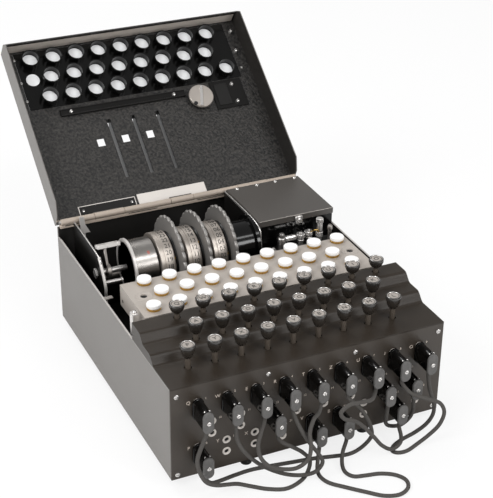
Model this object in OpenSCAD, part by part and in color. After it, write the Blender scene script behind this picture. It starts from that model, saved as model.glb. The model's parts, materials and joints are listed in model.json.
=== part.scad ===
/* [Case] */
// Width of the case across its side walls
case_w = 265; // [262:1:270]
// Depth of the case from the plugboard to the back wall
case_d = 297; // [295:1:300]
// Height of the side walls above the case bottom
side_h = 92.5; // [92:0.5:93]
// Thickness of the sheet metal
sheet = 1.5; // [1.2:0.1:1.6]
// Height of the rubber feet under the case
foot_h = 8; // [6:1:12]

/* [Keys and lamps] */
// Distance between neighbouring keys, and between neighbouring lamps
letter_pitch = 24.9; // [24.5:0.1:25]
// Radius of a key top
key_r = 7; // [6:0.1:7.2]
// Height of the lamp panel above the case bottom
panel_z = 109; // [108:0.5:109]
// Radius of a lamp bulb
lamp_r = 6.8; // [6:0.1:7]

/* [Rotors] */
// Radius of the thumbwheels over their teeth
wheel_r = 42.5; // [41:0.5:43]
// Radius of the number rings
ring_r = 28.5; // [27:0.5:29]
// Distance between neighbouring rotors
rotor_pitch = 27.2; // [27.2:0.1:27.4]
// Radius of the rotor axle
axle_r = 3; // [2.5:0.1:3.5]

/* [Lid] */
// Angle that the lid swings from open to closed
lid_swing = 142; // [138:1:144]
// Height of the lid's top above the case bottom
lid_z = 120; // [120:0.5:121]

/* [Plugboard] */
// Distance between neighbouring plugs in a row
plug_pitch = 27; // [26.5:0.1:27.2]
// Distance between the rows of plugs
plug_row = 23.3; // [23:0.1:24]
// Length of a plug in front of the plugboard
plug_len = 25; // [23:1:27]
// Diameter of a patch lead
lead_d = 3.6; // [3:0.1:3.8]

/* [Hidden] */
$fn = 48;

// The row frame's origin lies on the ground, in the middle of the room that the open machine takes.
mid_y = 231;
gap = 0.3;

// Three rows of nine, eight and nine letters: first x, y and top z of each row.
row_count = [9, 8, 9];
key_row = [[39.4, 79.9, 124.4], [45.9, 52.8, 120.6], [26.8, 25.3, 117.3]];
lamp_row = [[35.3, 148.9], [43.2, 125.8], [26.8, 103.1]];
lamp_top = 115.4;
stem_r = 2.6;
stem_len = 34;
collar_r = 4.6;

// The key cover's top climbs in two smooth waves: flat heights and where each wave lies.
cover_z = [94, 102, 110];
wave_y = [[36, 47], [60, 71]];
cover_end = 88;
cover_t = 1.5;

// Plug rows counted from the top: height, and how far the row is set in by pitches.
plug_z = [for (r = [0:2]) 69 - r * plug_row];
plug_inset = [0, 0.5, 0];
plug_x0 = case_w / 2 - 4 * plug_pitch;
plug_half = [5.25, 10.75];
lead_y = -19;
socket_gap = 12.3;
socket_r = 2;
// Row and place of each plug that is in the plugboard.
plugs_in = concat([for (i = [0:8]) [0, i]], [[1, 2], [1, 6], [1, 7], [2, 0], [2, 4], [2, 5], [2, 7]]);

// Rotor axis, the middle of the first thumbwheel and the sizes along the axle.
axis_y = 217;
axis_z = 89;
wheel_x = 88.4;
wheel_t = 3.2;
hub_r = 20;
bore_r = axle_r + 0.06;
rotor_teeth = 26;

// Battery box and its place.
box_x = [179.5, 262.8];
box_y = [209, 289];
box_z = 112;

// Hinge axis of the lid, and the lid's outline when it is closed.
hinge_y = 294.4;
hinge_z = 108.2;
lid_front = 88.8;
lid_back = 291.5;
flange_z = 93;
flap_x = [11.5, 250];
flap_y = [92.3, 160.5];
flap_hinge = [162.2, 122.4];
slot_half = 34.7;
slot_w = 4.6;
knob_at = [194.8, 179];

// Routes of the patch leads between their two plugs, in case coordinates.
lead_ends = [[[0, 0], [1, 2]], [[0, 1], [0, 3]], [[0, 2], [0, 4]], [[2, 0], [0, 5]],
    [[2, 4], [2, 5]], [[0, 6], [2, 7]], [[0, 7], [0, 8]], [[1, 6], [1, 7]]];
lead_routes = [
    [[18, -24, 47], [12, -29, 38], [13, -32, 27], [18, -34, 17], [27, -34, 11], [38, -31, 6],
     [50, -27, 0], [62, -29, -5], [74, -37, -6], [88, -43, -6], [102, -40, -6], [114, -32, -6],
     [120, -26, 2], [113, -26, 13], [103, -26, 22], [95, -23, 27]],
    [[50, -26, 45], [54, -31, 36], [61, -33, 27], [70, -34, 18], [82, -35, 9], [95, -36, 2],
     [108, -38, -1], [119, -39, 0], [126, -38, 7], [122, -37, 17], [115, -35, 28], [109, -29, 40]],
    [[72, -26, 47], [66, -33, 40], [66, -39, 31], [73, -42, 22], [85, -43, 16], [98, -44, 14],
     [109, -43, 19], [113, -40, 29], [114, -35, 40], [121, -28, 47], [129, -22, 48]],
    [[30, -18, 1], [42, -12, -4], [56, -8, -6], [72, -7, -6], [90, -9, -6], [110, -12, -6],
     [130, -15, -6], [146, -19, -6], [162, -22, -6], [175, -21, -3], [182, -24, 8], [179, -28, 21],
     [174, -29, 33], [168, -26, 44]],
    [[129, -24, 1], [125, -31, -5], [123, -40, -6], [126, -51, -6], [136, -62, -6], [149, -75, -6],
     [161, -86, -6], [174, -90, -6], [185, -85, -6], [189, -75, -6], [184, -65, -6], [173, -58, -6],
     [160, -55, -6], [150, -52, -6], [146, -44, -6], [148, -34, -5], [153, -25, 0]],
    [[178, -28, 52], [164, -34, 57], [151, -37, 60], [142, -38, 55], [146, -38, 47], [157, -37, 41],
     [167, -37, 31], [177, -37, 18], [186, -37, 6], [196, -37, -1], [206, -34, 0], [212, -26, 1]],
    [[220, -26, 45], [233, -31, 39], [245, -34, 33], [250, -35, 22], [246, -35, 10], [237, -34, 1],
     [224, -35, -5], [211, -39, -6], [202, -38, -6], [199, -33, -6], [205, -27, -6], [217, -22, -6],
     [231, -19, -5], [242, -20, 2], [247, -22, 13], [246, -23, 26], [242, -21, 40]],
    [[200, -18, 21], [202, -15, 11], [209, -12, 4], [219, -13, 3], [226, -16, 11], [228, -18, 21]]];
lead_sides = 8;
lead_steps = 2;

module in_case() {
    translate([-case_w / 2, -mid_y, foot_h]) children();
}

// A cylinder along X from x to x + len, centred on (y, z).
module rod_x(x, len, y, z, r) {
    translate([x, y, z]) rotate([0, 90, 0]) cylinder(r = r, h = len);
}

// A cylinder along Y from y to y + len, centred on (x, z).
module rod_y(y, len, x, z, r) {
    translate([x, y, z]) rotate([-90, 0, 0]) cylinder(r = r, h = len);
}

// A block between two corners.
module block(low, high) {
    translate(low) cube(high - low);
}

// A plate of thickness len along X, from an outline drawn in (y, z).
module plate_x(x, len) {
    translate([x, 0, 0]) rotate([90, 0, 90]) linear_extrude(len) children();
}

function letter_x(row, i) = row[0] + i * letter_pitch;
function plug_at(p) = [plug_x0 + plug_pitch * (p[1] + plug_inset[p[0]]), plug_z[p[0]]];
function unit(v) = v / norm(v);

// Height of the key cover's top at depth y: each wave is half a cosine.
function wave(y, w) = y <= w[0] ? 0 : y >= w[1] ? 1 : (1 - cos(180 * (y - w[0]) / (w[1] - w[0]))) / 2;
function cover_top(y) = cover_z[0] + (cover_z[1] - cover_z[0]) * wave(y, wave_y[0])
    + (cover_z[2] - cover_z[1]) * wave(y, wave_y[1]);
wave_steps = 8;
cover_line = concat([0], [for (w = wave_y) for (k = [0:wave_steps]) w[0] + (w[1] - w[0]) * k / wave_steps]);

module base_case() {
    color("#8c8782") in_case() difference() {
        block([0, 2, 0], [case_w, case_d, 103]);
        block([sheet, 1, 2], [case_w - sheet, case_d - sheet, 104]);
        block([-1, -1, side_h], [case_w + 1, case_d - sheet, 104]);
    }
}

module case_feet() {
    color("#1b1a19") in_case() for (x = [74, case_w - 74]) for (y = [8, case_d - 8])
        translate([x, y, -foot_h]) cylinder(r1 = 5, r2 = 7.5, h = foot_h);
}

// Outline of the key cover in (y, z), set in by d from the top and by d at both ends.
module cover_outline(d, start) {
    polygon(concat([[start, side_h], [start, cover_top(start) - d]],
        [for (y = cover_line) if (y > start) [y, cover_top(y) - d]],
        [[cover_end - d, cover_z[2] - d], [cover_end - d, side_h]]));
}

module key_cover() {
    color("#4a423d") in_case() difference() {
        plate_x(0, case_w) cover_outline(0, 0);
        plate_x(cover_t, case_w - 2 * cover_t) translate([0, -0.01]) cover_outline(cover_t, wave_y[0][0] + 2);
        for (r = [0:2]) for (i = [0:row_count[r] - 1])
            translate([letter_x(key_row[r], i), key_row[r][1], 80]) cylinder(r = stem_r + 0.8, h = 40);
    }
}

// A key: a domed top in a ring, a tapered body, a stem and the collar that stops it under the cover.
module key(r, i) {
    top = key_row[r][2];
    color("#6b635b") in_case() translate([letter_x(key_row[r], i), key_row[r][1], 0]) {
        translate([0, 0, top - 3]) cylinder(r = key_r, h = 3);
        translate([0, 0, top - 8]) cylinder(r1 = stem_r + 0.6, r2 = key_r - 0.8, h = 5);
        translate([0, 0, top - stem_len]) cylinder(r = stem_r, h = stem_len - 7.5);
        translate([0, 0, cover_z[2 - r] - cover_t - 2.3]) cylinder(r = collar_r, h = 2);
    }
}

module plugboard_panel() {
    color("#4b4540") in_case() difference() {
        block([0, 0, 0], [case_w, 2, side_h]);
        for (r = [0:2]) for (i = [0:row_count[r] - 1]) for (s = [-1, 1])
            let (p = plug_at([r, i])) rod_y(-1, 4, p[0], p[1] + s * socket_gap / 2, 3.2);
    }
}

// Two ringed sockets for each letter, with the bore open to the front.
module plug_sockets() {
    color("#d9d3c4") in_case() for (r = [0:2]) for (i = [0:row_count[r] - 1]) for (s = [-1, 1])
        let (p = plug_at([r, i])) difference() {
            union() {
                rod_y(-0.8, 0.8, p[0], p[1] + s * socket_gap / 2, 4);
                rod_y(0, 14, p[0], p[1] + s * socket_gap / 2, 3.2);
            }
            rod_y(-2, 14, p[0], p[1] + s * socket_gap / 2, socket_r);
        }
}

// A plug: an oval body with two pins, standing 0.8 mm off the panel on the socket rings.
module patch_plugs() {
    flat = plug_half[1] - plug_half[0];
    color("#161514") in_case() for (at = plugs_in) let (p = plug_at(at)) {
        for (s = [-1, 1]) rod_y(-plug_len, plug_len - 0.8, p[0], p[1] + s * flat, plug_half[0]);
        block([p[0] - plug_half[0], -plug_len, p[1] - flat], [p[0] + plug_half[0], -0.8, p[1] + flat]);
        for (s = [-1, 1]) rod_y(-1, 9, p[0], p[1] + s * socket_gap / 2, socket_r - 0.1);
    }
}

// A smooth curve through the points p: a cubic between each pair, cut in n steps.
function at_end(p, i) = p[max(0, min(len(p) - 1, i))];
function along(a, b, c, d, t) = 0.5 * (2 * b + (c - a) * t + (2 * a - 5 * b + 4 * c - d) * t * t
    + (3 * b - a - 3 * c + d) * t * t * t);
function smooth(p, n) = concat([for (i = [0:len(p) - 2]) for (k = [0:n - 1])
    along(at_end(p, i - 1), p[i], p[i + 1], at_end(p, i + 2), k / n)], [p[len(p) - 1]]);
// Directions along the curve c, and side vectors carried along it without twist.
function headings(c) = [for (i = [0:len(c) - 1]) unit(at_end(c, i + 1) - at_end(c, i - 1))];
function carried(t, u, i) = i == len(t) ? []
    : let (v = unit(u - (u * t[i]) * t[i])) concat([v], carried(t, v, i + 1));

// A round tube of lead_sides sides along the curve c.
module tube(c) {
    t = headings(c);
    u = carried(t, [1, 0, 0], 0);
    n = lead_sides;
    last = (len(c) - 1) * n;
    rings = [for (i = [0:len(c) - 1]) for (k = [0:n - 1])
        c[i] + lead_d / 2 * (cos(360 * k / n) * u[i] + sin(360 * k / n) * cross(t[i], u[i]))];
    walls = [for (i = [0:len(c) - 2]) for (k = [0:n - 1]) let (a = i * n + k, b = i * n + (k + 1) % n)
        each [[a, a + n, b], [b, a + n, b + n]]];
    caps = [for (k = [1:n - 2]) each [[0, k, k + 1], [last, last + k + 1, last + k]]];
    polyhedron(rings, concat(walls, caps));
}

function lead_exit(end) = let (p = plug_at(end)) [p[0], lead_y, p[1] - plug_half[1]];
function lead_line(k) = let (a = lead_exit(lead_ends[k][0]), b = lead_exit(lead_ends[k][1]))
    concat([a, a - [0, 0, 5]], lead_routes[k], [b - [0, 0, 5], b]);

module patch_leads() {
    color("#5d574f") in_case() for (k = [0:len(lead_ends) - 1]) tube(smooth(lead_line(k), lead_steps));
}

// Panel screws at the front and the rivets of the battery cover.
module fasteners() {
    color("#b9b6ae") in_case() {
        for (x = [5.5, 90.5, 175, case_w - 5.5]) rod_y(-1.2, 1.2, x, 85.5, 2.2);
        for (x = [5.5, case_w - 5.5]) rod_y(-1.2, 1.2, x, 5, 2.2);
        for (x = [190.6, 213.1, 234.4, 256.6]) translate([x, 285.5, box_z]) cylinder(r = 1.6, h = 0.8);
    }
}

panel_x = [13.9, 246];
panel_y = [91.2, 155.2];
module lamp_panel() {
    color("#b9b2a8") in_case() difference() {
        block([panel_x[0], panel_y[0], 88], [panel_x[1], panel_y[1], panel_z]);
        block([panel_x[0] + sheet, panel_y[0] + sheet, 87], [panel_x[1] - sheet, panel_y[1] - sheet, panel_z - sheet]);
        for (r = [0:2]) for (i = [0:row_count[r] - 1])
            translate([letter_x(lamp_row[r], i), lamp_row[r][1], 90]) cylinder(r = 5.6, h = 30);
        for (x = [26.4, 237]) translate([x, 127, 90]) cylinder(r = 3.2, h = 30);
    }
}

// Screw collars that hold the bulbs: a flange on the panel and a sleeve through it.
module lamp_collars() {
    color("#b8963e") in_case() for (r = [0:2]) for (i = [0:row_count[r] - 1])
        translate([letter_x(lamp_row[r], i), lamp_row[r][1], 0]) difference() {
            union() {
                translate([0, 0, panel_z]) cylinder(r = 6.5, h = 2);
                translate([0, 0, panel_z - 12]) cylinder(r = 5.5, h = 12);
            }
            translate([0, 0, panel_z - 13]) cylinder(r = 4.6, h = 20);
        }
}

module lamp_bulbs() {
    color("#f2f1ec") in_case() for (r = [0:2]) for (i = [0:row_count[r] - 1])
        translate([letter_x(lamp_row[r], i), lamp_row[r][1], 0]) {
            translate([0, 0, panel_z + 2]) cylinder(r = lamp_r - 0.4, h = 1);
            translate([0, 0, panel_z + 2.6]) cylinder(r = lamp_r, h = lamp_top - panel_z - 4.1);
            translate([0, 0, lamp_top - 1.5]) cylinder(r1 = lamp_r, r2 = lamp_r - 2, h = 1.5);
            translate([0, 0, panel_z - 14]) cylinder(r = 4.5, h = 16.5);
        }
}

module battery_box() {
    color("#23211f") in_case() difference() {
        block([box_x[0] + 1, box_y[0] + 1, 20], [box_x[1] - 1, box_y[1] - 1, box_z - sheet]);
        block([box_x[0] + 3, box_y[0] + 3, 22], [box_x[1] - 3, box_y[1] - 3, box_z + 1]);
    }
}

module battery_cover() {
    color("#4a4744") in_case() difference() {
        block([box_x[0], box_y[0], box_z - 7], [box_x[1], box_y[1], box_z]);
        block([box_x[0] + 1, box_y[0] + 1, box_z - 8], [box_x[1] - 1, box_y[1] - 1, box_z - sheet]);
    }
}

module battery() {
    color("#7a6a4c") in_case() block([box_x[0] + 6, box_y[0] + 6, 22], [box_x[1] - 6, box_y[1] - 6, 88]);
}

// Terminal deck in front of the battery box, its posts, and the catch of the battery cover.
deck_z = 84;
module terminal_posts() {
    color("#a8a49c") in_case() {
        block([182, 166, deck_z - 2], [262, 207, deck_z]);
        block([182, 205, 2], [262, 207, deck_z]);
        for (p = [[221, 199], [231, 201]]) translate([p[0], p[1], deck_z]) {
            cylinder(r = 3, h = 8);
            translate([0, 0, 8]) cylinder(r = 3.8, h = 4);
        }
        translate([241, 197, deck_z]) {
            cylinder(r = 3, h = 23);
            translate([0, 0, 23]) cylinder(r1 = 3.4, r2 = 2.2, h = 3);
        }
        translate([249, 190, deck_z]) cylinder(r = 2, h = 20);
        translate([186, 189, deck_z]) cylinder(r = 3, h = 7);
        block([219, 207, 103], [227, 209, 111]);
    }
}

// Rotary switch: a post with a lever that swings about it.
switch_at = [200, 199];
module power_switch() {
    color("#a09c94") in_case() translate([switch_at[0], switch_at[1], deck_z + 0.3]) {
        cylinder(r = 4.5, h = 12);
        translate([0, 0, 12]) cylinder(r = 3, h = 4);
        translate([0, -2.4, 6.5]) cube([16, 4.8, 5]);
    }
}

// Two bracket plates that carry the rotor axle, and the cross bars that join them.
module rotor_frame() {
    color("#3b3938") in_case() {
        difference() {
            plate_x(13.5, 2) polygon([[198, 2], [198, 84], [208, 100], [214, 107], [259, 110], [286, 110], [286, 2]]);
            rod_x(12, 5, axis_y, axis_z, axle_r + 0.02);
            rod_x(12, 5, bar_at[0], bar_at[1], 4.06);
        }
        difference() {
            plate_x(174.8, 2.4) polygon([[196, 2], [196, 99], [209, 113], [283, 113], [283, 2]]);
            rod_x(174, 4, axis_y, axis_z, axle_r + 0.02);
            rod_x(174, 4, bar_at[0], bar_at[1], 4.06);
        }
        rod_x(15.5, 159.3, 205, 14, 4);
        rod_x(15.5, 159.3, 278, 40, 4);
        rod_x(15.5, 16, 201, 86, 2);
    }
}

module rotor_axle() {
    color("#c9c7c2") in_case() {
        rod_x(12.5, 167.5, axis_y, axis_z, axle_r);
        rod_x(10.5, 2.5, axis_y, axis_z, axle_r + 2);
    }
}

// Reflector drum on the left: it slides away from the rotors when the lever is pulled.
module reflector() {
    color("#c4c2bd") in_case() difference() {
        union() {
            rod_x(42.5, 2.5, axis_y, axis_z, 27);
            rod_x(45, 22.6, axis_y, axis_z, 25.5);
        }
        rod_x(40, 30, axis_y, axis_z, bore_r);
    }
}

// Release lever: a hub on the axle, an arm and a hollow grip bar across its end.
grip_tilt = 21;
grip_r = 24.4;
module reflector_lever() {
    color("#b5b1a8") in_case() difference() {
        translate([0, axis_y, axis_z]) rotate([-grip_tilt, 0, 0]) {
            rod_x(22, 4, 0, 0, 7);
            block([22, -3, 0], [25, 3, grip_r]);
            difference() {
                block([16.2, -5, grip_r - 2], [39.2, 5, grip_r + 2]);
                block([26, -1.8, grip_r - 3], [36, 1.8, grip_r + 3]);
            }
        }
        rod_x(10, 60, axis_y, axis_z, bore_r);
    }
}

module entry_disc() {
    color("#151515") in_case() difference() {
        union() {
            rod_x(151, 20, axis_y, axis_z, 23);
            rod_x(171, 3.4, axis_y, axis_z, 27);
        }
        rod_x(140, 50, axis_y, axis_z, bore_r);
    }
}

// Toothed outline: round notches cut in a disc.
module toothed(r, n, notch) {
    difference() {
        circle(r);
        for (k = [0:n - 1]) rotate(360 * (k + 0.5) / n) translate([r + notch * 0.35, 0]) circle(notch, $fn = 16);
    }
}

// Rotor core number k: the thumbwheel, the hub that carries the ring, and the ratchet.
module rotor_wheel(k) {
    x = wheel_x + k * rotor_pitch;
    color("#9a9a98") in_case() difference() {
        union() {
            plate_x(x - wheel_t / 2, wheel_t) translate([axis_y, axis_z]) toothed(wheel_r, rotor_teeth, 3.4);
            rod_x(x - 19.5, 26, axis_y, axis_z, hub_r);
            plate_x(x + 3, 2) translate([axis_y, axis_z]) toothed(26, rotor_teeth, 2);
        }
        rod_x(x - 30, 60, axis_y, axis_z, bore_r);
    }
}

module rotor_ring(k) {
    x = wheel_x + k * rotor_pitch;
    color("#cfcdc6") in_case() difference() {
        rod_x(x - 19.2, 15.4, axis_y, axis_z, ring_r);
        rod_x(x - 30, 60, axis_y, axis_z, hub_r + 0.05);
    }
}

// Rocking shaft with one pawl behind each ratchet.
bar_at = [258, 58];
module stepping_bar() {
    color("#8e8b86") in_case() {
        rod_x(12.5, 166.8, bar_at[0], bar_at[1], 4);
        for (k = [0:2]) plate_x(wheel_x + k * rotor_pitch + 2.4, 3.2)
            polygon([[255, 58], [261, 58], [251, 88], [246.4, 91], [246.4, 87]]);
    }
}

// Strips, rod and fixed knuckles of the lid's hinge, on the back wall.
case_knuckles = [[3, 35], [70, 50], [145, 50], [230, 32]];
lid_knuckles = [[38.4, 31.2], [120.4, 24.2], [195.4, 34.2]];
knuckle_r = 3;
module lid_hinge() {
    color("#a59c8e") in_case() {
        block([2, 289.5, 103], [case_w - 2, case_d, 104.5]);
        difference() {
            union() {
                for (s = case_knuckles) rod_x(s[0], s[1], hinge_y, hinge_z, knuckle_r);
                for (s = case_knuckles) block([s[0], hinge_y - 1, 104.5], [s[0] + s[1], hinge_y + 1, hinge_z]);
            }
            rod_x(0, case_w, hinge_y, hinge_z, 1.55);
        }
        rod_x(2, case_w - 4, hinge_y, hinge_z, 1.5);
    }
}

// Where the lid lies: modelled closed, then swung open about its hinge.
module opened() {
    in_case() translate([0, hinge_y, hinge_z]) rotate([-lid_swing, 0, 0])
        translate([0, -hinge_y, -hinge_z]) children();
}

// Side flange of the lid in (y, z): its front follows the key cover, and its back clears the hinge.
module flange_outline() {
    polygon([[lid_front, 101], [94.5, flange_z], [279, flange_z], [289.5, 104], [lid_back, 112], [lid_back, lid_z],
        [lid_front, lid_z]]);
}

// Raised collar round a thumbwheel slot on the lid's outer face.
guard_h = 9.5;
slot_y = 219.5;
module slot_guard(x) {
    plate_x(x - slot_w / 2 - 1, slot_w + 2) polygon([[slot_y - slot_half - 1, lid_z - 1],
        [slot_y - slot_half - 1, lid_z + guard_h - 3], [slot_y - slot_half + 3, lid_z + guard_h],
        [slot_y + slot_half - 3, lid_z + guard_h], [slot_y + slot_half + 1, lid_z + guard_h - 3],
        [slot_y + slot_half + 1, lid_z - 1]]);
}

module lid() {
    color("#3a3837") opened() difference() {
        union() {
            block([0, lid_front, lid_z - sheet], [case_w, lid_back, lid_z]);
            for (x = [0, case_w - sheet]) plate_x(x, sheet) flange_outline();
            block([0, lid_front, 101], [case_w, lid_front + sheet, lid_z]);
            block([2, lid_back - sheet, hinge_z + 1], [case_w - 2, lid_back, lid_z]);
            for (s = lid_knuckles) {
                rod_x(s[0], s[1], hinge_y, hinge_z, knuckle_r);
                block([s[0], lid_back - sheet, hinge_z], [s[0] + s[1], hinge_y, hinge_z + 2.3]);
            }
            for (k = [0:2]) slot_guard(wheel_x + k * rotor_pitch);
            for (s = [[20, 40], [110, 45], [205, 40]]) flap_knuckle(s);
        }
        for (s = case_knuckles) block([s[0] - gap, 289, 104], [s[0] + s[1] + gap, 299, hinge_z + knuckle_r + 1]);
        rod_x(-1, case_w + 2, hinge_y, hinge_z, 1.55);
        block([flap_x[0] - gap, flap_y[0] - gap, lid_z - 3], [flap_x[1] + gap, flap_y[1] + gap, lid_z + 1]);
        for (k = [0:2]) let (x = wheel_x + k * rotor_pitch) {
            block([x - slot_w / 2, slot_y - slot_half, lid_z - 3], [x + slot_w / 2, slot_y + slot_half, lid_z + guard_h + 1]);
            block([x - 19, 205.5, lid_z - 3], [x - 11, 214.5, lid_z + 1]);
        }
        translate([knob_at[0], knob_at[1], lid_z - 5]) cylinder(r = 3.06, h = 10);
        rod_x(0, case_w, flap_hinge[0], flap_hinge[1], 1.05);
    }
}

// A knuckle of the flap's hinge on the lid, or on the flap when it is turned towards it.
module flap_knuckle(s) {
    rod_x(s[0], s[1], flap_hinge[0], flap_hinge[1], 2);
    block([s[0], flap_hinge[0], lid_z - 0.5], [s[0] + s[1], flap_hinge[0] + 1.5, flap_hinge[1]]);
}

// What is fixed to the lid's inner face, and the rod of the flap's hinge.
lid_screws = [[256.4, 104], [254, 129], [234.8, 168.7], [234.8, 190.2], [52.2, 170], [167, 170]];
module lid_fittings() {
    inner = lid_z - sheet;
    color("#2a2827") opened() {
        block([41, 166, inner - 2.5], [180, 174, inner]);
        block([210, 162, inner - 1.2], [247, 196, inner]);
        for (s = lid_screws) translate([s[0], s[1], inner - 4]) cylinder(r = 2, h = 4);
        block([27.5, 277, inner - 0.8], [88.5, 288.6, inner]);
        block([91, 277, inner - 0.5], [166, 288.6, inner]);
        rod_x(20, 225, flap_hinge[0], flap_hinge[1], 1);
    }
}

// Window flap: a plate with a dark tube round each lamp window. It opens outwards.
flap_knuckles = [[60.5, 49], [155.5, 49]];
tube_len = 8;
module lamp_flap() {
    inner = lid_z - sheet;
    color("#242220") opened() difference() {
        union() {
            block([flap_x[0], flap_y[0], inner], [flap_x[1], flap_y[1], lid_z]);
            for (r = [0:2]) for (i = [0:row_count[r] - 1])
                translate([letter_x(lamp_row[r], i), lamp_row[r][1] + 0.4, inner - tube_len]) cylinder(r = 9.8, h = tube_len);
            for (s = flap_knuckles) {
                rod_x(s[0], s[1], flap_hinge[0], flap_hinge[1], 2);
                block([s[0], 158, lid_z + 0.5], [s[0] + s[1], flap_hinge[0], flap_hinge[1] + 1.5]);
                block([s[0], 158, lid_z - 0.5], [s[0] + s[1], flap_y[1], lid_z + 1]);
            }
        }
        for (r = [0:2]) for (i = [0:row_count[r] - 1])
            translate([letter_x(lamp_row[r], i), lamp_row[r][1] + 0.4, inner - 12]) {
                cylinder(r = 8.5, h = 12.2);
                cylinder(r = 7.6, h = 20);
            }
        translate([24.1, 125.7, inner - 1]) cylinder(r = 6, h = 5);
        for (s = flap_knuckles) rod_x(s[0] - 1, s[1] + 2, flap_hinge[0], flap_hinge[1], 1.05);
    }
}

module window_lenses() {
    inner = lid_z - sheet;
    color("#dfe3e2") opened() {
        for (r = [0:2]) for (i = [0:row_count[r] - 1])
            translate([letter_x(lamp_row[r], i), lamp_row[r][1] + 0.4, inner - 1]) cylinder(r = 8.4, h = 1.1);
        translate([24.1, 125.7, inner - 0.6]) cylinder(r = 7.2, h = 0.6);
    }
}

// Lid lock: a slotted disc inside, a shaft through the lid and a slotted head outside.
module locking_knob() {
    color("#b3afa7") opened() difference() {
        translate([knob_at[0], knob_at[1], 0]) {
            translate([0, 0, 110.5]) cylinder(r = 13.5, h = 5);
            translate([0, 0, 115]) cylinder(r = 3, h = 8);
            translate([0, 0, lid_z + 0.3]) cylinder(r = 8, h = 4);
        }
        translate([knob_at[0], knob_at[1], 110]) rotate(-20) translate([-1.2, -14, 0]) cube([2.4, 28, 2]);
        translate([knob_at[0], knob_at[1], lid_z + 2.5]) translate([-1, -9, 0]) cube([2, 18, 3]);
        translate([knob_at[0] - 9, knob_at[1] + 9.5, 109]) cylinder(r = 2.6, h = 8);
    }
}

base_case();
case_feet();
key_cover();
plugboard_panel();
plug_sockets();
patch_plugs();
patch_leads();
fasteners();
lamp_panel();
lamp_collars();
lamp_bulbs();
battery_box();
battery_cover();
battery();
terminal_posts();
power_switch();
rotor_frame();
rotor_axle();
reflector();
reflector_lever();
entry_disc();
rotor_wheel(0);  // rotor_left_wheel
rotor_ring(0);  // rotor_left_ring
rotor_wheel(1);  // rotor_middle_wheel
rotor_ring(1);  // rotor_middle_ring
rotor_wheel(2);  // rotor_right_wheel
rotor_ring(2);  // rotor_right_ring
stepping_bar();
lid();
lid_fittings();
lid_hinge();
lamp_flap();
window_lenses();
locking_knob();
key(0, 0);  // key_q
key(0, 1);  // key_w
key(0, 2);  // key_e
key(0, 3);  // key_r
key(0, 4);  // key_t
key(0, 5);  // key_z
key(0, 6);  // key_u
key(0, 7);  // key_i
key(0, 8);  // key_o
key(1, 0);  // key_a
key(1, 1);  // key_s
key(1, 2);  // key_d
key(1, 3);  // key_f
key(1, 4);  // key_g
key(1, 5);  // key_h
key(1, 6);  // key_j
key(1, 7);  // key_k
key(2, 0);  // key_p
key(2, 1);  // key_y
key(2, 2);  // key_x
key(2, 3);  // key_c
key(2, 4);  // key_v
key(2, 5);  // key_b
key(2, 6);  // key_n
key(2, 7);  // key_m
key(2, 8);  // key_l
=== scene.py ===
import json
import math

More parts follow.
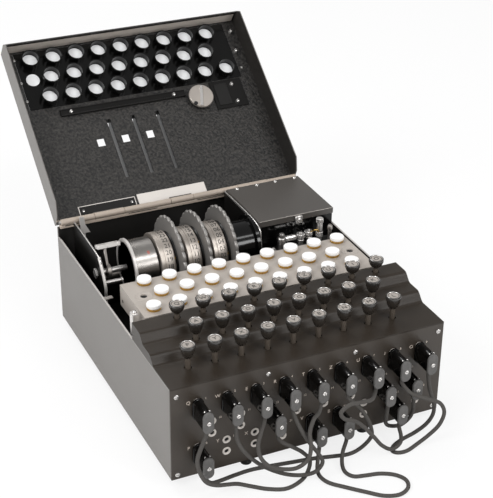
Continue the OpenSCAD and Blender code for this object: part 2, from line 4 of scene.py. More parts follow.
import bpy
import numpy as np
from mathutils import Matrix
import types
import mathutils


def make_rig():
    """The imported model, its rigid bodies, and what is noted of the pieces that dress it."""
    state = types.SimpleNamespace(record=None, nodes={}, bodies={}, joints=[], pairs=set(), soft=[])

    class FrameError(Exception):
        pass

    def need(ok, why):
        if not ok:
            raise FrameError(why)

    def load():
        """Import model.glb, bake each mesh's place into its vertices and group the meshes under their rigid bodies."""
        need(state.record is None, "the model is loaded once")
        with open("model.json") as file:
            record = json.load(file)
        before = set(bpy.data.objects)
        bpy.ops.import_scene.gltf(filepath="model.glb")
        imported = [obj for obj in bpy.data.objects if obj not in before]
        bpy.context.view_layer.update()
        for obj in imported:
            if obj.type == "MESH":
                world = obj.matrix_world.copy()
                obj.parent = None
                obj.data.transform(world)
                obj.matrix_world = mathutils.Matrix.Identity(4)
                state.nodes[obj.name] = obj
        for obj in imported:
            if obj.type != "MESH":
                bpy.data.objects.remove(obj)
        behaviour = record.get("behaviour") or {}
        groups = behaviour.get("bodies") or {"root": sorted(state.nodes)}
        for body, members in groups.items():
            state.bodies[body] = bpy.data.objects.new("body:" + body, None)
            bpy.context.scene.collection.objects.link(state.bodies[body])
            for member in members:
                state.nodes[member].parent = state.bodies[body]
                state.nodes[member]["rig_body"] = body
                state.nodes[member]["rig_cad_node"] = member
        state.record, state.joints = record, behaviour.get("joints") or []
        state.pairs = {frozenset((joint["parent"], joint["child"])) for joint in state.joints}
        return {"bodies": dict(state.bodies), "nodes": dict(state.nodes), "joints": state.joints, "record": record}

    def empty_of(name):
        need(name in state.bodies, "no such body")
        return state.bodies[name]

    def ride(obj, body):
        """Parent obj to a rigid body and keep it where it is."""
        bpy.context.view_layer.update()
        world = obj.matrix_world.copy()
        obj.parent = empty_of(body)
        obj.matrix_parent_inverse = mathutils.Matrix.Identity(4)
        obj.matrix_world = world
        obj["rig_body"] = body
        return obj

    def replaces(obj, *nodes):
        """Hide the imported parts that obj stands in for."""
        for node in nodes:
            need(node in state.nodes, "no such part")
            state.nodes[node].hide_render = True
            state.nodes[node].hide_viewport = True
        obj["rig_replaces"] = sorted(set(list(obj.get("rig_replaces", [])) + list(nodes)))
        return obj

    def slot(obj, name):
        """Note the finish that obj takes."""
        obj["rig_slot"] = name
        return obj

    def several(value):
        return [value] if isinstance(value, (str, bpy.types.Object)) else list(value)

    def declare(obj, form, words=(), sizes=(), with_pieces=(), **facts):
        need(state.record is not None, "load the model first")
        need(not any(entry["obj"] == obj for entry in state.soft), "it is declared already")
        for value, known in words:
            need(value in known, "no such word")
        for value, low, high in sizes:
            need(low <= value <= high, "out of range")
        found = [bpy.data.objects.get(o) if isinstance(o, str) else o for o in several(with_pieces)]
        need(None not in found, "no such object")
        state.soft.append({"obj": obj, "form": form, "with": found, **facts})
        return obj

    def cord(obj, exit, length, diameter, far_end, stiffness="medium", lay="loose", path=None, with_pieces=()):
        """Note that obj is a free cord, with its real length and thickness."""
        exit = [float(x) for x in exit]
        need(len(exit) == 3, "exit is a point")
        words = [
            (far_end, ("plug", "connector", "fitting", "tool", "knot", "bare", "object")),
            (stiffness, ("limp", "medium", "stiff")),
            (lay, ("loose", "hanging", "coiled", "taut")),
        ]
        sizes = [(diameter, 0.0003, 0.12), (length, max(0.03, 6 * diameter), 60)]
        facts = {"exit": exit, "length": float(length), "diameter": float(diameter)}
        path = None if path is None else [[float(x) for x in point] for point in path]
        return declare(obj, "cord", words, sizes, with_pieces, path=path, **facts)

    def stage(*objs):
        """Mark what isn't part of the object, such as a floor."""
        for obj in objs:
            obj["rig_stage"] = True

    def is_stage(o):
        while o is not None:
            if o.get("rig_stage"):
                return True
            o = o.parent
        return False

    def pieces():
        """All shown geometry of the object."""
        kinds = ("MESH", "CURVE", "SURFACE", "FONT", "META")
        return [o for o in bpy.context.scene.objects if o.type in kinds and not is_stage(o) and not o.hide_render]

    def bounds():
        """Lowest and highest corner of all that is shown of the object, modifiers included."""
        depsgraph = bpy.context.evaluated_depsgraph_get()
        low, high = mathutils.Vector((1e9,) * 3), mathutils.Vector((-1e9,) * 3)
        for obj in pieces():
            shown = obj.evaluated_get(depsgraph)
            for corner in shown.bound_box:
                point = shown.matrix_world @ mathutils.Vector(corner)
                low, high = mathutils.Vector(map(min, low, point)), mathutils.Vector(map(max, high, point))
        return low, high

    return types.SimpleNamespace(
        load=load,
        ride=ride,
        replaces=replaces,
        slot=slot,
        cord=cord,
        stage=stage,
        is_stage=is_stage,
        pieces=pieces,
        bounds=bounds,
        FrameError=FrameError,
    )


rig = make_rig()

bl_info = {
    "name": "Rotor cipher machine builder",
    "version": (1, 0, 0),
    "blender": (4, 5, 0),
    "location": "3D View > Sidebar > Cipher",
    "description": "Builds the looks of a rotor cipher machine around its packed frame",
    "category": "Object",
}

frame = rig.load()
START_BOUNDS = [list(corner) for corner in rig.bounds()]

MM = 0.001
TINY = 1e-9
# Edges that turn by more than this many degrees stay sharp, on new pieces and on the frame's own nodes.
SHARP_NEW = 40.0
SHARP_NODE = 30.0
# The case's own coordinates, in mm: x from its left side, y from its front, z from its bottom.
CASE = np.array([132.5, 231.0, -8.0])
# The lid: its hinge line, the angle of the open lid, and the height of its outer and inner face when closed.
HINGE = np.array([0.0, 294.4, 108.2])
OPEN = math.radians(-142)
LID_Z = 120.0
INNER_Z = 118.5
# Front and back end of the wheel slots in the lid.
SLOT_Y = (184.8, 254.2)
# The keyboard: letters of each row, the keys' spacing, and each row's first x, its y and the dial's height.
ROWS = ("QWERTZUIO", "ASDFGHJK", "PYXCVBNML")
PITCH = 24.9
KEY_ROW = ((39.4, 79.9, 124.4), (45.9, 52.8, 120.6), (26.8, 25.3, 117.3))
# Height of the key cover's top at each row of keys.
COVER_Z = (110.0, 102.0, 94.0)
# Depth of the tapered body under the ring of a key in each row, short enough for the key's 5 mm of travel.
KEY_BODY = (5.8, 9.4, 9.9)
# The lamps stand in the same rows: each row's first x and its y, and the height of the lamp panel's face.
LAMP_ROW = ((35.3, 148.9), (43.2, 125.8), (26.8, 103.1))
PANEL_Z = 109.0
# The rotors: a point on their axle, the radius of the hole for it, and each thumbwheel's middle.
AXIS = np.array([0.0, 217.0, 89.0])
AXLE_HOLE = 3.06
WHEEL_X = (88.4, 115.6, 142.8)
# Where each ring's numbers start, in steps of a 26th turn, and the angle of its setting pin in degrees.
RING_START = (3, 11, 19)
PIN_ANGLE = (-62, -40, -75)
# How far the grip of the reflector's lever leans back, in degrees.
GRIP_TILT = 21.0
# Height of the battery cover's top.
COVER_TOP = 112.0
# The plugboard: the first plug's x, the spacing, each row's height and its shift in spacings, and the plugs
# that are in, as (row, place in the row).
PLUG_X0 = 24.5
PLUG_PITCH = 27.0
PLUG_Z = (69.0, 45.7, 22.4)
PLUG_SHIFT = (0.0, 0.5, 0.0)
PLUGS = [(0, i) for i in range(9)] + [(1, 2), (1, 6), (1, 7), (2, 0), (2, 4), (2, 5), (2, 7)]
# Half the distance between the two pins of a plug, and half its height.
PIN_OFFSET = 6.15
PLUG_HALF = 10.75
# A lead leaves its plug at this y, in front of the panel, and hangs straight down for LEAD_DROP.
LEAD_OUT = -19.0
LEAD_DROP = 5.0
LEAD_D = 3.6
# The two plugs of each lead, as (row, place in the row).
LEAD_ENDS = (
    ((0, 0), (1, 2)), ((0, 1), (0, 3)), ((0, 2), (0, 4)), ((2, 0), (0, 5)),
    ((2, 4), (2, 5)), ((0, 6), (2, 7)), ((0, 7), (0, 8)), ((1, 6), (1, 7)),
)
# Waypoints of each lead between its plugs, the same as in the construction source.
LEAD_ROUTES = (
    ((18, -24, 47), (12, -29, 38), (13, -32, 27), (18, -34, 17), (27, -34, 11), (38, -31, 6),
     (50, -27, 0), (62, -29, -5), (74, -37, -6), (88, -43, -6), (102, -40, -6), (114, -32, -6),
     (120, -26, 2), (113, -26, 13), (103, -26, 22), (95, -23, 27)),
    ((50, -26, 45), (54, -31, 36), (61, -33, 27), (70, -34, 18), (82, -35, 9), (95, -36, 2),
     (108, -38, -1), (119, -39, 0), (126, -38, 7), (122, -37, 17), (115, -35, 28), (109, -29, 40)),
    ((72, -26, 47), (66, -33, 40), (66, -39, 31), (73, -42, 22), (85, -43, 16), (98, -44, 14),
     (109, -43, 19), (113, -40, 29), (114, -35, 40), (121, -28, 47), (129, -22, 48)),
    ((30, -18, 1), (42, -12, -4), (56, -8, -6), (72, -7, -6), (90, -9, -6), (110, -12, -6),
     (130, -15, -6), (146, -19, -6), (162, -22, -6), (175, -21, -3), (182, -24, 8), (179, -28, 21),
     (174, -29, 33), (168, -26, 44)),
    ((129, -24, 1), (125, -31, -5), (123, -40, -6), (126, -51, -6), (136, -62, -6), (149, -75, -6),
     (161, -86, -6), (174, -90, -6), (185, -85, -6), (189, -75, -6), (184, -65, -6), (173, -58, -6),
     (160, -55, -6), (150, -52, -6), (146, -44, -6), (148, -34, -5), (153, -25, 0)),
    ((178, -28, 52), (164, -34, 57), (151, -37, 60), (142, -38, 55), (146, -38, 47), (157, -37, 41),
     (167, -37, 31), (177, -37, 18), (186, -37, 6), (196, -37, -1), (206, -34, 0), (212, -26, 1)),
    ((220, -26, 45), (233, -31, 39), (245, -34, 33), (250, -35, 22), (246, -35, 10), (237, -34, 1),
     (224, -35, -5), (211, -39, -6), (202, -38, -6), (199, -33, -6), (205, -27, -6), (217, -22, -6),
     (231, -19, -5), (242, -20, 2), (247, -22, 13), (246, -23, 26), (242, -21, 40)),
    ((200, -18, 21), (202, -15, 11), (209, -12, 4), (219, -13, 3), (226, -16, 11), (228, -18, 21)),
)


# ---------------------------------------------------------------- geometry in numpy

def case(points):
    """Case coordinates in mm to the row frame in metres."""
    return (np.asarray(points, float) - CASE) * MM


def opened(points):
    """Closed-lid coordinates in mm to the row frame in metres, the lid swung open about its hinge."""
    p = np.asarray(points, float) - HINGE
    c, s = math.cos(OPEN), math.sin(OPEN)
    turned = np.stack([p[..., 0], p[..., 1] * c - p[..., 2] * s, p[..., 1] * s + p[..., 2] * c], -1)
    return case(turned + HINGE)


def bands(gaps, n):
    """Quads between stacked rings of n points each, gaps being the number of rings less one."""
    k = np.arange(n)
    ahead = (k + 1) % n
    low = np.arange(gaps)[:, None] * n
    high = low + n
    return np.stack([low + k, low + ahead, high + ahead, high + k], -1).reshape(-1, 4).tolist()


def first_cap(n):
    """The face that closes the first of the stacked rings."""
    return list(range(n - 1, -1, -1))


def last_cap(gaps, n):
    """The face that closes the last of the stacked rings."""
    return list(range(gaps * n, gaps * n + n))


def lathe(profile, sides=48):
    """Surface of revolution about +Z of the (r, z) profile, (r cos t, r sin t, z), closed at both ends."""
    profile = np.asarray(profile, float)
    t = np.arange(sides) * 2 * np.pi / sides
    ring = np.stack([np.cos(t), np.sin(t)], -1)
    xy = profile[:, None, 0, None] * ring[None]
    z = np.broadcast_to(profile[:, None, 1, None], xy.shape[:2] + (1,))
    gaps = len(profile) - 1
    faces = bands(gaps, sides)
    if profile[0, 0] > TINY:
        faces.append(first_cap(sides))
    if profile[-1, 0] > TINY:
        faces.append(last_cap(gaps, sides))
    return np.concatenate([xy, z], -1).reshape(-1, 3), faces


def prism(outline, z0, z1, bevel=0.0):
    """Prism of a closed (x, y) outline, anticlockwise, from z0 to z1. A bevel insets its end rings along the
    outline's normals."""
    outline = np.asarray(outline, float)
    n = len(outline)
    ahead = np.roll(outline, -1, 0) - outline
    back = outline - np.roll(outline, 1, 0)
    normal = np.stack([ahead[:, 1] + back[:, 1], -ahead[:, 0] - back[:, 0]], -1)
    normal /= np.maximum(np.linalg.norm(normal, axis=1, keepdims=True), TINY)
    levels = [(z0, 0.0), (z1, 0.0)]
    if bevel:
        levels = [(z0, bevel), (z0 + bevel, 0.0), (z1 - bevel, 0.0), (z1, bevel)]
    verts = np.concatenate([
        np.concatenate([outline - normal * inset, np.full((n, 1), z)], 1) for z, inset in levels
    ])
    gaps = len(levels) - 1
    return verts, bands(gaps, n) + [first_cap(n), last_cap(gaps, n)]


def block(low, high, bevel=0.3):
    """Bevelled block between two corners."""
    low, high = np.minimum(low, high), np.maximum(low, high)
    square = [(low[0], low[1]), (high[0], low[1]), (high[0], high[1]), (low[0], high[1])]
    return prism(chamfered(square, bevel), low[2], high[2], bevel)


def chamfered(outline, cut):
    """The outline with each corner replaced by two points, cut away from it along both sides."""
    o = np.asarray(outline, float)
    back = np.roll(o, 1, 0) - o
    ahead = np.roll(o, -1, 0) - o
    back /= np.linalg.norm(back, axis=1, keepdims=True)
    ahead /= np.linalg.norm(ahead, axis=1, keepdims=True)
    return np.stack([o + back * cut, o + ahead * cut], 1).reshape(-1, 2)


def hexagon(r):
    """Regular hexagon with corners at radius r, anticlockwise: (r cos t, r sin t)."""
    return polar(np.full(6, float(r)))


def polar(radii):
    """Closed outline of evenly turned points at these radii, anticlockwise: (r cos t, r sin t)."""
    t = np.arange(len(radii)) * 2 * np.pi / len(radii)
    return np.stack([radii * np.cos(t), radii * np.sin(t)], -1)


def stadium(rx, ry, n=12):
    """Stadium outline, rx wide and ry tall (half sizes, ry > rx), anticlockwise."""
    t = np.linspace(0, np.pi, n)
    top = np.stack([rx * np.cos(t), ry - rx + rx * np.sin(t)], -1)
    return np.concatenate([top, -top])


def moved(part, at=(0, 0, 0), matrix=None):
    """The part turned by a 3 x 3 matrix and then moved."""
    verts, faces = part
    if matrix is not None:
        verts = verts @ np.asarray(matrix, float).T
    return verts + np.asarray(at, float), faces


def smooth_curve(points, steps):
    """Catmull-Rom curve through the points, the same number of steps in each gap from b to c:
    0.5 (2b + (c-a)t + (2a-5b+4c-d)t^2 + (3b-a-3c+d)t^3)."""
    p = np.asarray(points, float)
    q = np.concatenate([p[:1], p, p[-1:]])
    t = np.linspace(0, 1, steps, endpoint=False)[None, :, None]
    a, b, c, d = (q[i:len(q) - 3 + i, None] for i in range(4))
    square, cube = 2 * a - 5 * b + 4 * c - d, 3 * b - a - 3 * c + d
    curve = 0.5 * (2 * b + (c - a) * t + square * t**2 + cube * t**3)
    return np.concatenate([curve.reshape(-1, 3), p[-1:]])


def tube(curve, radius, sides):
    """Round tube along the curve: c + radius (u cos a + w sin a) across its direction, with the side vector u
    carried along from ring to ring without twist."""
    t = np.gradient(curve, axis=0)
    t /= np.linalg.norm(t, axis=1, keepdims=True)
    u = np.zeros_like(t)
    side = np.array([1.0, 0.0, 0.0])
    for i, d in enumerate(t):
        side = side - (side @ d) * d
        side /= np.linalg.norm(side)
        u[i] = side
    w = np.cross(t, u)
    a = np.arange(sides) * 2 * np.pi / sides
    across = np.cos(a)[None, :, None] * u[:, None] + np.sin(a)[None, :, None] * w[:, None]
    rings = curve[:, None] + radius * across
    gaps = len(curve) - 1
    return rings.reshape(-1, 3), bands(gaps, sides) + [first_cap(sides), last_cap(gaps, sides)]


def spin(angle):
    """Matrix that turns by an angle about local z."""
    c, s = math.cos(angle), math.sin(angle)
    return np.array([[c, -s, 0], [s, c, 0], [0, 0, 1]])


# Local z along +X, local x along +Y, local y along +Z.
TO_X = np.array([[0.0, 0, 1], [1, 0, 0], [0, 1, 0]])
# Local z along -X, local x along -Y, local y along +Z.
TO_LEFT = -TO_X @ np.diag([1, -1, 1])
# Local z along -Y, local y along +Z.
TO_FRONT = np.array([[1.0, 0, 0], [0, 0, -1], [0, 1, 0]])
# Local z along -Z, local y along -Y.
FLIP = np.diag([1.0, -1.0, -1.0])


# ---------------------------------------------------------------- objects

def piece(name, parts, body, slot, place=case, nodes=()):
    """One mesh object from (part, material) pairs, in place, that rides a body and replaces these nodes."""
    mesh = bpy.data.meshes.new(name)
    verts, faces, index = [], [], []
    materials, base = [], 0
    for (v, f), material in parts:
        if material not in materials:
            materials.append(material)
        verts.append(v)
        faces += [[i + base for i in face] for face in f]
        index += [materials.index(material)] * len(f)
        base += len(v)
    mesh.from_pydata(place(np.concatenate(verts)).tolist(), [], faces)
    for material in materials:
        mesh.materials.append(bpy.data.materials["look_" + material])
    mesh.polygons.foreach_set("material_index", index)
    mesh.polygons.foreach_set("use_smooth", [True] * len(faces))
    mesh.update()
    mesh.set_sharp_from_angle(angle=math.radians(SHARP_NEW))
    obj = bpy.data.objects.new(name, mesh)
    bpy.context.scene.collection.objects.link(obj)
    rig.ride(obj, body)
    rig.slot(obj, slot)
    if nodes:
        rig.replaces(obj, *nodes)
    return obj


def stand_in(node, parts, body, slot, place=case):
    """The modelled piece that takes the place of one node of the frame."""
    piece(node + "_look", parts, body, slot, place, (node,))


def paint(node, material):
    """A node of the frame that stays in view takes this material."""
    obj = frame["nodes"][node]
    obj.data.materials.clear()
    obj.data.materials.append(bpy.data.materials["look_" + material])
    obj.data.polygons.foreach_set("use_smooth", [True] * len(obj.data.polygons))
    obj.data.set_sharp_from_angle(angle=math.radians(SHARP_NODE))


def letters(text, size, height, depth):
    """The text as flat raised letters, size mm tall, centred on the origin, their middle at this height."""
    curve = bpy.data.curves.new("text", "FONT")
    curve.body = text
    # A font's size is about 1.4 times the height of its capitals.
    curve.size = size * 1.4
    curve.align_x = "CENTER"
    curve.align_y = "CENTER"
    curve.extrude = depth / 2
    curve.resolution_u = 3
    obj = bpy.data.objects.new("text", curve)
    bpy.context.scene.collection.objects.link(obj)
    mesh = bpy.data.meshes.new_from_object(obj.evaluated_get(bpy.context.evaluated_depsgraph_get()))
    verts = np.empty(len(mesh.vertices) * 3)
    mesh.vertices.foreach_get("co", verts)
    verts = verts.reshape(-1, 3)
    faces = [list(p.vertices) for p in mesh.polygons]
    bpy.data.objects.remove(obj)
    bpy.data.curves.remove(curve)
    bpy.data.meshes.remove(mesh)
    middle = (verts.min(0) + verts.max(0)) / 2
    verts[:, :2] -= middle[:2]
    verts[:, 2] += height
    return verts, faces


# ---------------------------------------------------------------- materials

# How far a finish's roughness goes up and down with its stains.
ROUGH_SPREAD = 0.12


def speckle_group():
    """Node group: object coordinates to a fine grain and broad stains, both from 0 to 1."""
    group = bpy.data.node_groups.new("grain_and_stain", "ShaderNodeTree")
    nodes, links = group.nodes, group.links
    patterns = (("Grain", "Grain scale", 2.0), ("Stain", "Stain scale", 4.0))
    for output, scale, _ in patterns:
        group.interface.new_socket(name=scale, in_out="INPUT", socket_type="NodeSocketFloat")
        group.interface.new_socket(name=output, in_out="OUTPUT", socket_type="NodeSocketFloat")
    given, out, where = (nodes.new(kind) for kind in (
        "NodeGroupInput", "NodeGroupOutput", "ShaderNodeTexCoord"))
    for output, scale, detail in patterns:
        noise = nodes.new("ShaderNodeTexNoise")
        noise.inputs["Detail"].default_value = detail
        links.new(where.outputs["Object"], noise.inputs["Vector"])
        links.new(given.outputs[scale], noise.inputs["Scale"])
        links.new(noise.outputs["Fac"], out.inputs[output])


def linear(level):
    """An sRGB level of 0 to 255 as a linear value of 0 to 1."""
    return ((level / 255 + 0.055) / 1.055) ** 2.4 if level > 10.3 else level / 255 / 12.92


def grey(value, warm=0.0):
    """An sRGB level of 0 to 255, made warmer by warm levels from red to blue, as linear RGBA."""
    return (linear(value + warm / 2), linear(value), linear(value - warm / 2), 1.0)


def finish(m, colour, rough, stain=0.25, grain=0.0, bump=0.0, grain_scale=900.0, stain_scale=14.0):
    """Colour, roughness and height (in mm) of one finish, mottled by stains and grain."""
    nodes, links = m.node_tree.nodes, m.node_tree.links
    look = nodes.new("ShaderNodeGroup")
    look.node_tree = bpy.data.node_groups["grain_and_stain"]
    look.inputs["Grain scale"].default_value = grain_scale
    look.inputs["Stain scale"].default_value = stain_scale
    # Brightness factor = 1 + 2 stain (s - 0.5) + 2 grain (g - 0.5)
    stained, grained, height = (nodes.new("ShaderNodeMath") for _ in range(3))
    stained.operation = grained.operation = "MULTIPLY_ADD"
    stained.inputs[1].default_value = stain * 2
    stained.inputs[2].default_value = 1.0 - stain - grain
    grained.inputs[1].default_value = grain * 2
    links.new(look.outputs["Stain"], stained.inputs[0])
    links.new(look.outputs["Grain"], grained.inputs[0])
    links.new(stained.outputs["Value"], grained.inputs[2])
    scale = nodes.new("ShaderNodeVectorMath")
    scale.operation = "SCALE"
    scale.inputs[0].default_value = colour[:3]
    links.new(grained.outputs["Value"], scale.inputs["Scale"])
    spread = nodes.new("ShaderNodeMapRange")
    spread.inputs["To Min"].default_value = max(rough - ROUGH_SPREAD, 0.03)
    spread.inputs["To Max"].default_value = min(rough + ROUGH_SPREAD, 1.0)
    links.new(look.outputs["Stain"], spread.inputs["Value"])
    height.operation = "MULTIPLY"
    height.inputs[1].default_value = bump
    links.new(look.outputs["Grain"], height.inputs[0])
    return scale.outputs["Vector"], spread.outputs["Result"], height.outputs["Value"]


def box_mask_group():
    """Node group: 1 where the vector lies between two corners, 0 elsewhere. It tests whether the least of
    vector - low and high - vector, over all axes, is above 0."""
    group = bpy.data.node_groups.new("box_mask", "ShaderNodeTree")
    for name in ("Vector", "Low", "High"):
        group.interface.new_socket(name=name, in_out="INPUT", socket_type="NodeSocketVector")
    group.interface.new_socket(name="Mask", in_out="OUTPUT", socket_type="NodeSocketFloat")
    nodes, links = group.nodes, group.links
    given, out = nodes.new("NodeGroupInput"), nodes.new("NodeGroupOutput")
    above, below, least = (nodes.new("ShaderNodeVectorMath") for _ in range(3))
    above.operation = below.operation = "SUBTRACT"
    least.operation = "MINIMUM"
    links.new(given.outputs["Vector"], above.inputs[0])
    links.new(given.outputs["Low"], above.inputs[1])
    links.new(given.outputs["High"], below.inputs[0])
    links.new(given.outputs["Vector"], below.inputs[1])
    links.new(above.outputs["Vector"], least.inputs[0])
    links.new(below.outputs["Vector"], least.inputs[1])
    split = nodes.new("ShaderNodeSeparateXYZ")
    links.new(least.outputs["Vector"], split.inputs["Vector"])
    first, second, test = (nodes.new("ShaderNodeMath") for _ in range(3))
    first.operation = second.operation = "MINIMUM"
    test.operation = "GREATER_THAN"
    test.inputs[1].default_value = 0.0
    links.new(split.outputs["X"], first.inputs[0])
    links.new(split.outputs["Y"], first.inputs[1])
    links.new(first.outputs["Value"], second.inputs[0])
    links.new(split.outputs["Z"], second.inputs[1])
    links.new(second.outputs["Value"], test.inputs[0])
    links.new(test.outputs["Value"], out.inputs["Mask"])


def zoned(name, outer, zones, lid=False):
    """A finish with others in boxes of case coordinates, as inside a wall or on a strip. Each finish is its
    colour, its roughness and the named values of its pattern, and each zone a finish and its box's two corners.
    On the lid the boxes are given for the closed lid, and Object coordinates are turned back to it about the
    hinge."""
    m = bpy.data.materials.new("look_" + name)
    m.use_nodes = True
    m.diffuse_color = outer[0]
    nodes, links = m.node_tree.nodes, m.node_tree.links
    shader = nodes["Principled BSDF"]
    where = nodes.new("ShaderNodeTexCoord").outputs["Object"]
    if lid:
        turn = nodes.new("ShaderNodeMapping")
        hinge = case(HINGE)
        c, s = math.cos(-OPEN), math.sin(-OPEN)
        turned = np.array([hinge[0], hinge[1] * c - hinge[2] * s, hinge[1] * s + hinge[2] * c])
        turn.inputs["Rotation"].default_value = (-OPEN, 0, 0)
        turn.inputs["Location"].default_value = tuple(hinge - turned)
        links.new(where, turn.inputs["Vector"])
        where = turn.outputs["Vector"]
    now = finish(m, *outer[:2], **outer[2])
    for inner, low, high in zones:
        mask = nodes.new("ShaderNodeGroup")
        mask.node_tree = bpy.data.node_groups["box_mask"]
        mask.inputs["Low"].default_value = tuple(case(low))
        mask.inputs["High"].default_value = tuple(case(high))
        links.new(where, mask.inputs["Vector"])
        new = finish(m, *inner[:2], **inner[2])
        result = []
        for kind, old_socket, new_socket in zip(("RGBA", "FLOAT", "FLOAT"), now, new):
            mix = nodes.new("ShaderNodeMix")
            mix.data_type = kind
            links.new(mask.outputs["Mask"], mix.inputs["Factor"])
            links.new(old_socket, mix.inputs["A"])
            links.new(new_socket, mix.inputs["B"])
            result.append(mix.outputs["Result"])
        now = result
    relief = nodes.new("ShaderNodeBump")
    relief.inputs["Distance"].default_value = MM
    links.new(now[0], shader.inputs["Base Color"])
    links.new(now[1], shader.inputs["Roughness"])
    links.new(now[2], relief.inputs["Height"])
    links.new(relief.outputs["Normal"], shader.inputs["Normal"])
    return shader


def material(name, colour, rough, metal=0.0, coat=0.0, shine=0.5, **pattern):
    """A procedural finish of one kind all over."""
    shader = zoned(name, (colour, rough, pattern), ())
    shader.inputs["Metallic"].default_value = metal
    shader.inputs["Coat Weight"].default_value = coat
    shader.inputs["Specular IOR Level"].default_value = shine


def all_materials():
    """Every finish of the machine. Levels are sRGB greys as the photograph shows them."""
    chosen = bpy.context.scene.cipher_settings
    speckle_group()
    box_mask_group()
    paint_grey = (tuple(chosen.case_colour), 0.42, dict(stain=0.12, grain=0.05, bump=0.05, grain_scale=1500))
    worn_edge = (grey(176, 8), 0.4, dict(stain=0.3, grain=0.2))
    black = (grey(22, 3), 0.5, dict(stain=0.3, grain=0.2))
    crinkle = (grey(34, 4), 0.5, dict(stain=0.2, grain=2.9, bump=0.9, grain_scale=400))
    flange = (grey(32, 5), 0.5, dict(stain=0.3, grain=0.4, bump=0.1, grain_scale=700))
    # A pale strip for the front flange's inner face: partly bare metal and partly painted highlight.
    strip = (grey(190, 18), 0.45, dict(stain=0.15, grain=0.05))
    beige = (grey(158, 26), 0.45, dict(stain=0.3, grain=0.1))
    zoned("case_walls", paint_grey, (
        (worn_edge, (-9, -9, 92.1), (274, 295.2, 93)),
        (black, (0.8, -9, 1), (264.2, 296.3, 92.1)),
        (black, (0.8, 290, 92.1), (264.2, 296.3, 102.8))))
    zoned("lid_walls", paint_grey, (
        (crinkle, (0.8, 89.1, 90), (264.2, 290.7, 119.2)),
        (flange, (263.0, 89.1, 90), (264.2, 290.7, 118)),
        # Painted shade: the walls and collars of the wheel slots are black, for the shade deep in the slots.
        (black, (60, 180, 119), (180, 260, 140)),
        # The front flange's inner face, pale: partly bare metal and partly painted highlight.
        (strip, (3, 88.9, 104.5), (262, 90.9, 117.4)),
        (beige, (-9, 290.9, 104), (274, 299, 112))), lid=True)
    material("cover_paint", tuple(chosen.cover_colour), 0.36, shine=0.3, stain=0.25, grain=0.1, bump=0.03,
             grain_scale=1800)
    material("front_paint", tuple(chosen.front_colour), 0.42, stain=0.2, grain=0.1, bump=0.03,
             grain_scale=1800)
    material("panel_paint", tuple(chosen.panel_colour), 0.45, stain=0.15, grain=0.08, bump=0.03)
    material("lid_black", grey(18, 2), 0.3, shine=0.25, stain=0.2, grain=0.2)
    material("tube_black", grey(9, 1), 0.16, shine=0.3, stain=0.2)
    material("plate_black", grey(24, 2), 0.4, shine=0.3, stain=0.2, grain=0.1)
    material("pale_plate", grey(205, 12), 0.5, stain=0.12, grain=0.05)
    material("dark_satin", grey(72, 7), 0.38, stain=0.15, grain=0.06, bump=0.03, grain_scale=1500)
    material("frame_black", grey(18, 2), 0.35, shine=0.3, stain=0.2)
    material("ebonite", grey(9, 0), 0.12, shine=0.35, stain=0.2)
    material("plug_black", grey(6, 1), 0.14, shine=0.3, stain=0.2)
    material("fibre", grey(84, 3), 0.6, stain=0.35, grain=0.25, bump=0.08, stain_scale=160)
    material("rubber", grey(22, 2), 0.8, stain=0.2)
    material("lead_cloth", tuple(chosen.lead_colour), 0.85, stain=0.2, grain=0.35, bump=0.15,
             grain_scale=1600)
    material("steel", grey(190, 6), 0.34, metal=1.0, stain=0.15, grain=0.05)
    material("knob_metal", grey(186, 16), 0.35, metal=0.8, stain=0.15)
    material("bright", grey(214, 6), 0.25, metal=0.8, stain=0.1)
    material("old_steel", grey(150, 10), 0.42, metal=1.0, stain=0.3, grain=0.1)
    material("brass", (0.62, 0.4, 0.12, 1.0), 0.3, metal=1.0, stain=0.2)
    material("wheel_grey", grey(142, 6), 0.45, metal=0.5, stain=0.15, grain=0.05)
    material("ring_metal", grey(174, 16), 0.38, metal=0.8, stain=0.25, grain=0.08)
    material("ink", grey(26, 0), 0.5)
    material("bulb", grey(246, 3), 0.45, stain=0.03)
    material("window", grey(250, -1), 0.3, stain=0.05)
    material("hinge_paint", grey(158, 26), 0.45, stain=0.3, grain=0.1)
    material("key_body", grey(40, 9), 0.24, shine=0.35, stain=0.15)
    material("key_ring", grey(46, 5), 0.2, stain=0.1, coat=0.3)
    material("key_dial", tuple(chosen.dial_colour), 0.2, stain=0.15)
    material("socket", grey(205, 14), 0.3, stain=0.1)
    # Near-black for holes, bores and slots: painted shade for their insides. The hinge's dark seams take it too.
    material("hole", grey(8, 0), 0.7)
    material("key_stem", grey(74, 16), 0.35, stain=0.15)
    material("bright_drum", grey(164, 8), 0.28, metal=1.0, stain=0.2)
    material("pale_metal", grey(206, 8), 0.3, metal=0.3, stain=0.15)
    material("red_ink", (0.55, 0.08, 0.05, 1.0), 0.5)
    material("card", grey(110, 60), 0.7, stain=0.2)
    material("ivory", grey(200, 26), 0.45, stain=0.15)


# ---------------------------------------------------------------- camera, floor and light

# The camera that the photograph's edges give: its place in case coordinates, its angles, and its focal length
# in pixels of a picture 498 pixels high.
CAMERA_AT = (-351.0, -898.0, 757.5)
AZIMUTH, ELEVATION, ROLL = math.radians(-25.05), math.radians(28.82), math.radians(0.59)
FOCAL_PIXELS = 1405.88
PICTURE_HEIGHT = 498
SENSOR = 36.0
FLOOR_HALF = 6.0
FLOOR_WHITE = (0.93, 0.93, 0.93, 1.0)
# The part of the floor that the camera sees as plain white, and the strength of the studio's soft light.
FLOOR_GLOW = 0.8
SOFT_LIGHT = 0.42
# Name, place, aim, size and power of each lamp, in metres and watts.
STUDIO_LAMPS = (
    ("key_light", (-1.7, -0.5, 1.6), (0, 0, 0.1), (1.3, 1.1), 30.0),
    ("back_light", (-0.2, 1.5, 2.3), (0, 0, 0.1), (1.4, 0.9), 20.0),
    ("strip_light", (0.5, -1.5, 2.0), (0, -0.1, 0.1), (2.2, 0.3), 15.0),
    ("front_light", (1.0, -1.7, 1.0), (0, 0, 0.1), (0.7, 0.5), 11.0),
)


